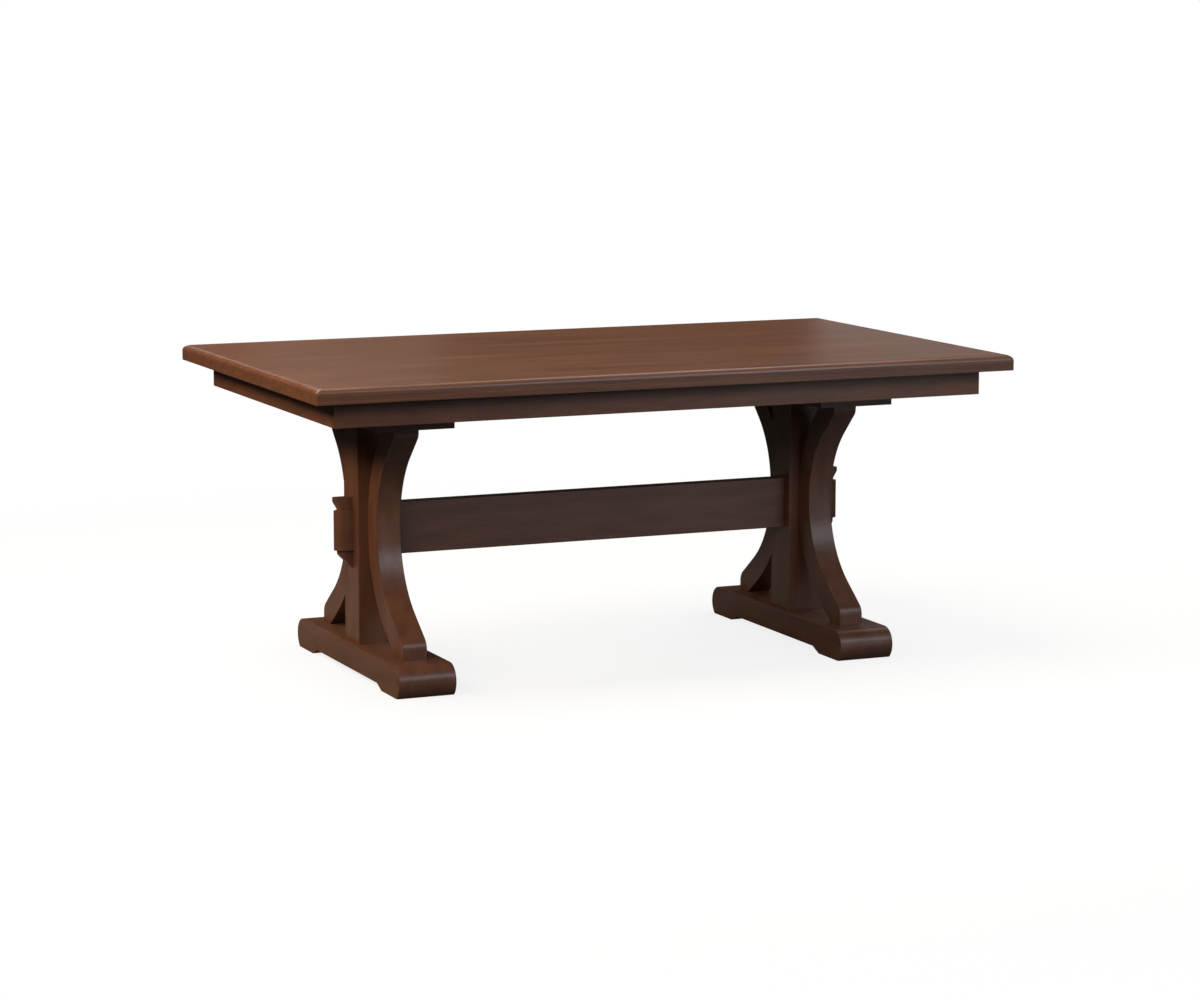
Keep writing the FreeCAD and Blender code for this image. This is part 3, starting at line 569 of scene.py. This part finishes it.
class TABLE_OT_top(Operator):
    """Finish the planks of the top"""

    bl_idname = "table.top"
    bl_label = "Top"

    def execute(self, context):
        boards = sorted(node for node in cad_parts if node.startswith("top_board_"))
        if not boards:
            raise RuntimeError("the frame has no planks")
        edges = [edge for node in boards for edge in (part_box(node)[0].y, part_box(node)[1].y)]
        width = (max(edges) - min(edges)) / len(boards)
        material = make_wood("stained_maple_planks", GRAIN_TURNS["x"], (min(edges), width, len(boards)))
        for node in boards[1:-1]:
            dress_node(node, material)
        ease_corners(boards[0], -1, material)
        ease_corners(boards[-1], 1, material)
        return {"FINISHED"}


class TABLE_OT_apron(Operator):
    """Ease and finish the aprons, their corner blocks and the cross cleats"""

    bl_idname = "table.apron"
    bl_label = "Apron and cleats"

    def execute(self, context):
        arris = context.scene.table_wood.arris
        for end in ENDS:
            ease_rail("apron_" + end, "x", arris)
        for side in SIDES:
            ease_rail("apron_" + side, "y", arris)
            ease_edges("cleat_%s_inner" % side, "y", arris)
            ease_edges("cleat_%s_outer" % side, "y", arris)
            for end in ENDS:
                ease_edges("corner_block_%s_%s" % (side, end), "z", arris)
        return {"FINISHED"}


class TABLE_OT_trestles(Operator):
    """Ease and finish the plates, posts, braces and feet"""

    bl_idname = "table.trestles"
    bl_label = "Trestles"

    def execute(self, context):
        wood = context.scene.table_wood
        for side in SIDES:
            ease_edges("plate_" + side, "y", wood.arris)
            ease_edges("post_" + side, "z", wood.arris)
            ease_edges("foot_" + side, "y", wood.trestle_arris)
            for end in ENDS:
                ease_edges("brace_%s_%s" % (side, end), "z", wood.trestle_arris)
        dress_node("brace_dowels", wood_along("y"))
        return {"FINISHED"}


class TABLE_OT_stretcher(Operator):
    """Ease and finish the stretcher and the keys that lock its tenons"""

    bl_idname = "table.stretcher"
    bl_label = "Stretcher and keys"

    def execute(self, context):
        arris = context.scene.table_wood.arris
        ease_edges("stretcher", "x", arris)
        for side in SIDES:
            ease_edges("key_" + side, "z", arris)
        return {"FINISHED"}


# Screws

# Size of the patches in the plating, and its roughness where it is bright and where it has dulled.
ZINC_PATCH = 4 * MM
BRIGHT_ROUGHNESS = 0.28
DULL_ROUGHNESS = 0.48
# Parts of a screw, as shares of its shank's diameter. The thread's ridge stays within that diameter.
CORE_RADIUS = 0.38
RIDGE_RADIUS = 0.11
TIP_LENGTH = 1.2
TIP_RADIUS = 0.05
# The share of the core that is threaded.
THREADED_SHARE = 0.7
# A crown falls with this power of the distance from its middle, and has this many rings of faces.
CROWN_POWER = 3.0
CROWN_RINGS = 5
# Sides of a lag screw's head, a wood screw's head, a shank and the ridge of a thread.
HEXAGON_SIDES = 6
ROUND_HEAD_SIDES = 24
SHANK_SIDES = 12
RIDGE_SIDES = 3


def make_zinc():
    """Zinc-plated steel, formed cold and tumbled: a cool grey metal with a soft, slightly patchy shine."""
    screws = bpy.context.scene.table_screws
    material = bpy.data.materials.new("zinc_plated_steel")
    material.use_nodes = True
    tree = material.node_tree
    tree.nodes.clear()
    place = add_node(tree, "ShaderNodeTexCoord").outputs["Object"]
    patches = add_node(tree, "ShaderNodeTexNoise", None,
                       {"Vector": place, "Scale": 1 / ZINC_PATCH, "Detail": 3.0}).outputs["Fac"]
    colour = add_node(tree, "ShaderNodeMix", {"data_type": "RGBA"},
                      {"Factor": patches, "A": (*screws.zinc_colour, 1),
                       "B": (*screws.dull_zinc_colour, 1)})
    rough = add_node(tree, "ShaderNodeMapRange", None,
                     {"Value": patches, "To Min": BRIGHT_ROUGHNESS, "To Max": DULL_ROUGHNESS})
    shader = add_node(tree, "ShaderNodeBsdfPrincipled", None,
                      {"Base Color": colour.outputs["Result"], "Metallic": 1.0,
                       "Roughness": rough.outputs["Result"]})
    add_node(tree, "ShaderNodeOutputMaterial", None, {"Surface": shader.outputs["BSDF"]})
    return material


def measure_screw(points):
    """Top of the head, outward direction and length of a screw that runs along one of the axes."""
    low = Vector([min(point[axis] for point in points) for axis in range(3)])
    high = Vector([max(point[axis] for point in points) for axis in range(3)])
    size = high - low
    middle = (low + high) / 2
    run = max(range(3), key=lambda axis: size[axis])
    across = [axis for axis in range(3) if axis != run]
    widest = max(points, key=lambda point: sum((point[axis] - middle[axis]) ** 2 for axis in across))
    outward = Vector()
    outward[run] = math.copysign(1, widest[run] - middle[run])
    return middle + outward * size[run] / 2, outward, size[run]


def find_screws(node):
    """The measures of every separate screw in a packed group."""
    form = merge_node(node)
    # A dictionary keeps its order, so the screws come in the same order on every run.
    waiting = dict.fromkeys(form.verts)
    screws = []
    while waiting:
        reached = [waiting.popitem()[0]]
        points = []
        while reached:
            corner = reached.pop()
            points.append(corner.co.copy())
            for edge in corner.link_edges:
                other = edge.other_vert(corner)
                if other in waiting:
                    del waiting[other]
                    reached.append(other)
        screws.append(measure_screw(points))
    form.free()
    return screws


def add_screw_head(tree, given, head_middle):
    """A screw's head: a short prism whose top falls away towards its rim, less any cross recess."""
    radius = add_node(tree, "ShaderNodeMath", {"operation": "MULTIPLY"}, {0: given["Head width"], 1: 0.5})
    prism = add_node(tree, "GeometryNodeMeshCylinder", {"fill_type": "NGON"},
                     {"Vertices": given["Head sides"], "Fill Segments": CROWN_RINGS, "Side Segments": 1,
                      "Radius": radius.outputs[0], "Depth": given["Head height"]})
    spot = add_node(tree, "GeometryNodeInputPosition").outputs["Position"]
    level = add_node(tree, "ShaderNodeVectorMath", {"operation": "MULTIPLY"}, {0: spot, 1: (1, 1, 0)})
    away = add_node(tree, "ShaderNodeVectorMath", {"operation": "LENGTH"}, {0: level.outputs["Vector"]})
    share = add_node(tree, "ShaderNodeMath", {"operation": "DIVIDE"},
                     {0: away.outputs["Value"], 1: radius.outputs[0]})
    fall = add_node(tree, "ShaderNodeMath", {"operation": "POWER"}, {0: share.outputs[0], 1: CROWN_POWER})
    drop = add_node(tree, "ShaderNodeMath", {"operation": "MULTIPLY"},
                    {0: fall.outputs[0], 1: given["Crown drop"]})
    sunk = add_node(tree, "ShaderNodeMath", {"operation": "MULTIPLY"}, {0: drop.outputs[0], 1: -1.0})
    lower = add_node(tree, "ShaderNodeCombineXYZ", None, {"Z": sunk.outputs[0]})
    crowned = add_node(tree, "GeometryNodeSetPosition", None,
                       {"Geometry": prism.outputs["Mesh"], "Selection": prism.outputs["Top"],
                        "Offset": lower.outputs["Vector"]})
    head_place = add_node(tree, "ShaderNodeCombineXYZ", None, {"Z": head_middle})
    head = add_node(tree, "GeometryNodeTransform", None,
                    {"Geometry": crowned.outputs["Geometry"], "Translation": head_place.outputs["Vector"]})

    # The recess is two crossed bars.
    bars = add_node(tree, "GeometryNodeJoinGeometry")
    for long_side, short_side in (("X", "Y"), ("Y", "X")):
        size = add_node(tree, "ShaderNodeCombineXYZ", None,
                        {long_side: given["Recess span"], short_side: given["Recess width"],
                         "Z": given["Recess depth"]})
        bar = add_node(tree, "GeometryNodeMeshCube", None, {"Size": size.outputs["Vector"]})
        tree.links.new(bar.outputs["Mesh"], bars.inputs["Geometry"])
    cut = add_node(tree, "GeometryNodeMeshBoolean", {"operation": "DIFFERENCE", "solver": "EXACT"},
                   {"Mesh 1": head.outputs["Geometry"], "Mesh 2": bars.outputs["Geometry"]})
    top = add_node(tree, "GeometryNodeSwitch", {"input_type": "GEOMETRY"},
                   {"Switch": given["Cross recess"], "False": head.outputs["Geometry"],
                    "True": cut.outputs["Mesh"]})
    return top.outputs["Output"]


def add_screw_shank(tree, given, head_middle):
    """A screw's core, its pointed tip and the thread that winds round the core, each in its place."""
    core_radius = add_node(tree, "ShaderNodeMath", {"operation": "MULTIPLY"},
                           {0: given["Shank"], 1: CORE_RADIUS})
    tip_length = add_node(tree, "ShaderNodeMath", {"operation": "MULTIPLY"},
                          {0: given["Shank"], 1: TIP_LENGTH})
    tip_low = add_node(tree, "ShaderNodeMath", {"operation": "MULTIPLY"}, {0: given["Length"], 1: -1.0})
    core_low = add_node(tree, "ShaderNodeMath", {"operation": "ADD"},
                        {0: tip_low.outputs[0], 1: tip_length.outputs[0]})
    core_length = add_node(tree, "ShaderNodeMath", {"operation": "SUBTRACT"},
                           {0: head_middle, 1: core_low.outputs[0]})
    core_middle = add_node(tree, "ShaderNodeMath", {"operation": "MULTIPLY_ADD"},
                           {0: core_length.outputs[0], 1: 0.5, 2: core_low.outputs[0]})
    core = add_node(tree, "GeometryNodeMeshCylinder", {"fill_type": "NGON"},
                    {"Vertices": SHANK_SIDES, "Radius": core_radius.outputs[0],
                     "Depth": core_length.outputs[0]})
    tip_end = add_node(tree, "ShaderNodeMath", {"operation": "MULTIPLY"},
                       {0: given["Shank"], 1: TIP_RADIUS})
    tip = add_node(tree, "GeometryNodeMeshCone", {"fill_type": "NGON"},
                   {"Vertices": SHANK_SIDES, "Radius Top": core_radius.outputs[0],
                    "Radius Bottom": tip_end.outputs[0], "Depth": tip_length.outputs[0]})
    thread_length = add_node(tree, "ShaderNodeMath", {"operation": "MULTIPLY"},
                             {0: core_length.outputs[0], 1: THREADED_SHARE})
    winds = add_node(tree, "ShaderNodeMath", {"operation": "DIVIDE"},
                     {0: thread_length.outputs[0], 1: given["Thread pitch"]})
    spiral = add_node(tree, "GeometryNodeCurveSpiral", None,
                      {"Resolution": SHANK_SIDES, "Rotations": winds.outputs[0],
                       "Start Radius": core_radius.outputs[0], "End Radius": core_radius.outputs[0],
                       "Height": thread_length.outputs[0]})
    ridge_radius = add_node(tree, "ShaderNodeMath", {"operation": "MULTIPLY"},
                            {0: given["Shank"], 1: RIDGE_RADIUS})
    ridge = add_node(tree, "GeometryNodeCurvePrimitiveCircle", {"mode": "RADIUS"},
                     {"Resolution": RIDGE_SIDES, "Radius": ridge_radius.outputs[0]})
    thread = add_node(tree, "GeometryNodeCurveToMesh", None,
                      {"Curve": spiral.outputs["Curve"], "Profile Curve": ridge.outputs["Curve"],
                       "Fill Caps": True})
    forms = []
    for form, level in ((core.outputs["Mesh"], core_middle), (tip.outputs["Mesh"], tip_low),
                        (thread.outputs["Mesh"], core_low)):
        place = add_node(tree, "ShaderNodeCombineXYZ", None, {"Z": level.outputs[0]})
        moved = add_node(tree, "GeometryNodeTransform", None,
                         {"Geometry": form, "Translation": place.outputs["Vector"]})
        forms.append(moved.outputs["Geometry"])
    return forms


def make_screw_tree():
    """Geometry nodes that set a threaded screw on each point, its head along the point's outward."""
    tree = bpy.data.node_groups.new("threaded_screws", "GeometryNodeTree")
    tree.interface.new_socket("Seats", in_out="INPUT", socket_type="NodeSocketGeometry")
    for name in ("Head width", "Head height", "Crown drop", "Shank", "Length", "Thread pitch",
                 "Recess width", "Recess span", "Recess depth"):
        tree.interface.new_socket(name, in_out="INPUT", socket_type="NodeSocketFloat")
    tree.interface.new_socket("Head sides", in_out="INPUT", socket_type="NodeSocketInt")
    tree.interface.new_socket("Cross recess", in_out="INPUT", socket_type="NodeSocketBool")
    tree.interface.new_socket("Steel", in_out="INPUT", socket_type="NodeSocketMaterial")
    tree.interface.new_socket("Screws", in_out="OUTPUT", socket_type="NodeSocketGeometry")
    given = add_node(tree, "NodeGroupInput").outputs

    # A point is the top of its screw's head.
    head_middle = add_node(tree, "ShaderNodeMath", {"operation": "MULTIPLY"},
                           {0: given["Head height"], 1: -0.5}).outputs[0]
    whole = add_node(tree, "GeometryNodeJoinGeometry")
    for form in (add_screw_head(tree, given, head_middle), *add_screw_shank(tree, given, head_middle)):
        tree.links.new(form, whole.inputs["Geometry"])
    outward = add_node(tree, "GeometryNodeInputNamedAttribute", {"data_type": "FLOAT_VECTOR"},
                       {"Name": "outward"})
    turn = add_node(tree, "FunctionNodeAlignRotationToVector", {"axis": "Z"},
                    {"Vector": outward.outputs["Attribute"]})
    driven = add_node(tree, "GeometryNodeInstanceOnPoints", None,
                      {"Points": given["Seats"], "Instance": whole.outputs["Geometry"],
                       "Rotation": turn.outputs["Rotation"]})
    real = add_node(tree, "GeometryNodeRealizeInstances", None, {"Geometry": driven.outputs["Instances"]})
    plated = add_node(tree, "GeometryNodeSetMaterial", None,
                      {"Geometry": real.outputs["Geometry"], "Material": given["Steel"]})
    add_node(tree, "NodeGroupOutput", None, {"Screws": plated.outputs["Geometry"]})
    return tree


def drive_screws(node, tree, sizes):
    """Threaded screws on the seats of a packed group, in place of the group."""
    tops, directions, lengths = zip(*find_screws(node))
    seats = bpy.data.meshes.new(node + "_seats")
    seats.from_pydata(tops, [], [])
    turned = seats.attributes.new("outward", "FLOAT_VECTOR", "POINT")
    turned.data.foreach_set("vector", [part for outward in directions for part in outward])
    holder = bpy.data.objects.new(node + "_seats", seats)
    bpy.context.scene.collection.objects.link(holder)
    modifier = holder.modifiers.new("screws", "NODES")
    modifier.node_group = tree
    wanted = {"Length": min(lengths), **sizes}
    for socket in tree.interface.items_tree:
        if socket.in_out == "INPUT" and socket.name in wanted:
            modifier[socket.identifier] = wanted[socket.name]
    evaluated = holder.evaluated_get(bpy.context.evaluated_depsgraph_get())
    mesh = bpy.data.meshes.new_from_object(evaluated)
    mesh.name = node + "_threaded"
    bpy.data.objects.remove(holder)
    smooth_faces(mesh)
    add_piece(node + "_threaded", mesh, node)


class TABLE_OT_screws(Operator):
    """Drive the lag screws, their washers and the wood screws"""

    bl_idname = "table.screws"
    bl_label = "Screws"

    def execute(self, context):
        screws = context.scene.table_screws
        zinc = make_zinc()
        tree = make_screw_tree()
        lag = {"Head width": screws.lag_head, "Head height": screws.lag_head_height,
               "Head sides": HEXAGON_SIDES, "Crown drop": screws.lag_crown, "Shank": screws.lag_shank,
               "Thread pitch": screws.lag_pitch, "Cross recess": False, "Steel": zinc}
        wood_screw = {"Head width": screws.screw_head, "Head height": screws.screw_head_height,
                      "Head sides": ROUND_HEAD_SIDES, "Crown drop": screws.screw_crown,
                      "Shank": screws.screw_shank, "Thread pitch": screws.screw_pitch,
                      "Recess width": screws.recess_width, "Recess span": screws.recess_span,
                      "Recess depth": screws.screw_head_height, "Cross recess": True, "Steel": zinc}
        for place in ("foot", "plate"):
            drive_screws(place + "_lag_screws", tree, lag)
            dress_node(place + "_lag_washers", zinc)
        for place in ("brace_foot", "brace_plate", "plate", "cleat", "apron", "corner_block"):
            drive_screws(place + "_screws", tree, wood_screw)
        return {"FINISHED"}


# Stage

# Softboxes all face the middle of the table. For each: its azimuth, 0 in front of the long side and 90
# at the right end, its elevation, its distance, its width and height in metres, its brightness and its
# colour. The edge and corner lamps stand behind the table and put a sheen on that part of the top.
LAMPS = {
    "side": (-75, 28, 2.8, 1.6, 0.4, 15.8, "warm_colour"),
    "rear_side": (-115, 28, 2.8, 1.4, 0.4, 12.0, "warm_colour"),
    "front_left": (-40, 23.5, 3.4, 1.5, 0.7, 7.6, "mild_colour"),
    "front_right": (26, 32, 4.5, 3.2, 2.8, 0.2, "cool_colour"),
    "near_right": (20, 23, 2.6, 1.8, 0.8, 3.6, "cool_colour"),
    "right": (50, 20, 4.5, 2.0, 1.2, 1.3, "plain_colour"),
    "right_end": (118, 21, 4.5, 2.0, 1.1, 8.2, "plain_colour"),
    "low_front": (22, -8, 1.9, 1.4, 0.25, 0.7, "cool_colour"),
    "low_right": (35, 1, 2.8, 1.0, 0.5, 0.55, "plain_colour"),
    "overhead": (-90, 73, 4.5, 3.0, 3.0, 7.3, "mild_colour"),
    "rear": (-165, 48, 4.5, 2.5, 1.6, 2.0, "plain_colour"),
    "left_edge": (-176, 20, 4.5, 0.6, 0.4, 1.7, "plain_colour"),
    "front_edge": (130, 57, 4.5, 2.0, 2.0, 2.8, "plain_colour"),
    "near_corner": (128, 14, 2.7, 1.2, 0.5, 0.36, "plain_colour"),
    "left_corner": (181, 24.5, 1.93, 0.6, 0.4, 0.15, "plain_colour"),
}
# These light the wood but aren't mirrored in the lacquer, where they would glare on the top from some
# sides.
UNMIRRORED_LAMPS = ("side", "rear_side", "front_left", "right_end")
TABLE_MIDDLE = Vector((0, 0, 0.4))
# The camera's sensor in millimetres, and the distance past which it sees nothing.
SENSOR_WIDTH = 36
FAR_CLIP = 100


def add_backdrop_rays(tree):
    """Which rays show the backdrop, and how bright: white to the camera, dimmer in gloss and glass."""
    stage = bpy.context.scene.table_stage
    path = add_node(tree, "ShaderNodeLightPath").outputs
    mirror = add_node(tree, "ShaderNodeMath", {"operation": "MAXIMUM"},
                      {0: path["Is Glossy Ray"], 1: path["Is Transmission Ray"]})
    seen = add_node(tree, "ShaderNodeMath", {"operation": "MAXIMUM"},
                    {0: path["Is Camera Ray"], 1: mirror.outputs["Value"]})
    level = add_node(tree, "ShaderNodeMapRange", None,
                     {"Value": path["Is Camera Ray"], "To Min": stage.mirrored, "To Max": 1.0})
    return seen.outputs["Value"], level.outputs["Result"]


def make_floor():
    """A wide white floor with the table's soft shadow, which can't be seen from below."""
    stage = bpy.context.scene.table_stage
    form = bmesh.new()
    bmesh.ops.create_grid(form, x_segments=1, y_segments=1, size=stage.floor_radius)
    mesh = bpy.data.meshes.new("floor")
    form.to_mesh(mesh)
    form.free()
    material = bpy.data.materials.new("matt_floor_paint")
    material.use_nodes = True
    tree = material.node_tree
    tree.nodes.clear()
    seen, level = add_backdrop_rays(tree)
    place = add_node(tree, "ShaderNodeTexCoord").outputs["Object"]
    away = add_node(tree, "ShaderNodeVectorMath", {"operation": "LENGTH"}, {0: place})
    shaded = add_node(tree, "ShaderNodeMapRange", {"interpolation_type": "SMOOTHSTEP"},
                      {"Value": away.outputs["Value"], "From Min": stage.shadow_fades,
                       "From Max": stage.shadow_ends, "To Min": stage.shadow, "To Max": 0.0})
    white = add_node(tree, "ShaderNodeEmission", None, {"Color": (1, 1, 1, 1), "Strength": level})
    paint = add_node(tree, "ShaderNodeBsdfDiffuse", None, {"Color": (*stage.floor_colour, 1)})
    backdrop = add_node(tree, "ShaderNodeMixShader", None,
                        {0: shaded.outputs["Result"], 1: white.outputs["Emission"],
                         2: paint.outputs["BSDF"]})
    bounce = add_node(tree, "ShaderNodeBsdfDiffuse", None, {"Color": (*stage.bounce_colour, 1)})
    above = add_node(tree, "ShaderNodeMixShader", None,
                     {0: seen, 1: bounce.outputs["BSDF"], 2: backdrop.outputs["Shader"]})
    clear = add_node(tree, "ShaderNodeBsdfTransparent")
    below = add_node(tree, "ShaderNodeNewGeometry").outputs["Backfacing"]
    surface = add_node(tree, "ShaderNodeMixShader", None,
                       {0: below, 1: above.outputs["Shader"], 2: clear.outputs["BSDF"]})
    add_node(tree, "ShaderNodeOutputMaterial", None, {"Surface": surface.outputs["Shader"]})
    mesh.materials.append(material)
    floor = bpy.data.objects.new("floor", mesh)
    bpy.context.scene.collection.objects.link(floor)


def make_camera():
    """The camera, which looks at the table's near left corner from a little above the top."""
    stage = bpy.context.scene.table_stage
    lens = bpy.data.cameras.new("camera")
    lens.sensor_width = SENSOR_WIDTH
    lens.lens = stage.lens
    lens.clip_end = FAR_CLIP
    camera = bpy.data.objects.new("camera", lens)
    turn = Euler((math.pi / 2 - stage.elevation, 0, stage.azimuth))
    camera.rotation_euler = turn
    camera.location = Vector(stage.aim) + turn.to_matrix() @ Vector((0, 0, stage.distance))
    bpy.context.scene.collection.objects.link(camera)
    bpy.context.scene.camera = camera


def light_room():
    """A little even light from the room, and white where the camera looks past the floor."""
    stage = bpy.context.scene.table_stage
    world = bpy.data.worlds.new("studio")
    bpy.context.scene.world = world
    world.use_nodes = True
    tree = world.node_tree
    tree.nodes.clear()
    seen, level = add_backdrop_rays(tree)
    strength = add_node(tree, "ShaderNodeMapRange", None,
                        {"Value": seen, "To Min": stage.fill, "To Max": level})
    light = add_node(tree, "ShaderNodeBackground", None,
                     {"Color": (1, 1, 1, 1), "Strength": strength.outputs["Result"]})
    add_node(tree, "ShaderNodeOutputWorld", None, {"Surface": light.outputs["Background"]})


def add_softbox(name, azimuth, elevation, distance, width, height, brightness, colour):
    """A rectangular lamp that faces the table and isn't itself seen by the camera."""
    stage = bpy.context.scene.table_stage
    turn = math.radians(azimuth)
    rise = math.radians(elevation)
    away = Vector((math.sin(turn) * math.cos(rise), -math.cos(turn) * math.cos(rise), math.sin(rise)))
    sheet = bpy.data.lights.new(name + "_softbox", "AREA")
    sheet.shape = "RECTANGLE"
    sheet.size = width
    sheet.size_y = height
    sheet.energy = brightness * math.pi * width * height
    sheet.color = getattr(stage, colour)
    lamp = bpy.data.objects.new(name + "_softbox", sheet)
    lamp.location = TABLE_MIDDLE + away * distance
    lamp.rotation_euler = away.to_track_quat("Z", "Y").to_euler()
    lamp.visible_camera = False
    lamp.visible_glossy = name not in UNMIRRORED_LAMPS
    bpy.context.scene.collection.objects.link(lamp)


class TABLE_OT_stage(Operator):
    """Make the floor, the lights and the camera"""

    bl_idname = "table.stage"
    bl_label = "Stage"

    def execute(self, context):
        make_floor()
        make_camera()
        light_room()
        for name, lamp in LAMPS.items():
            add_softbox(name, *lamp)
        context.scene.view_settings.view_transform = "Standard"
        return {"FINISHED"}


class TABLE_PT_sidebar(Panel):
    """Lists the table's pieces and settings"""

    bl_idname = "TABLE_PT_sidebar"
    bl_label = "Trestle table"
    bl_space_type = "VIEW_3D"
    bl_region_type = "UI"
    bl_category = "Table"

    def draw(self, context):
        for operator in OPERATORS:
            self.layout.operator(operator.bl_idname)
        for name, group in GROUPS.items():
            box = self.layout.box()
            for setting in group.__annotations__:
                box.prop(getattr(context.scene, name), setting)


GROUPS = {
    "table_wood": TABLE_PG_wood,
    "table_screws": TABLE_PG_screws,
    "table_stage": TABLE_PG_stage,
}
OPERATORS = (TABLE_OT_top, TABLE_OT_apron, TABLE_OT_trestles, TABLE_OT_stretcher, TABLE_OT_screws,
             TABLE_OT_stage)
CLASSES = (*GROUPS.values(), *OPERATORS, TABLE_PT_sidebar)


def register():
    for cls in CLASSES:
        bpy.utils.register_class(cls)
    for name, group in GROUPS.items():
        setattr(bpy.types.Scene, name, PointerProperty(type=group))


def unregister():
    for name in GROUPS:
        delattr(bpy.types.Scene, name)
    for cls in reversed(CLASSES):
        bpy.utils.unregister_class(cls)


def main():
    """Dress the table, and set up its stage."""
    register()
    for operator in OPERATORS:
        group, action = operator.bl_idname.split(".")
        getattr(getattr(bpy.ops, group), action)()
    bpy.context.view_layer.update()


if __name__ == "__main__":
    main()
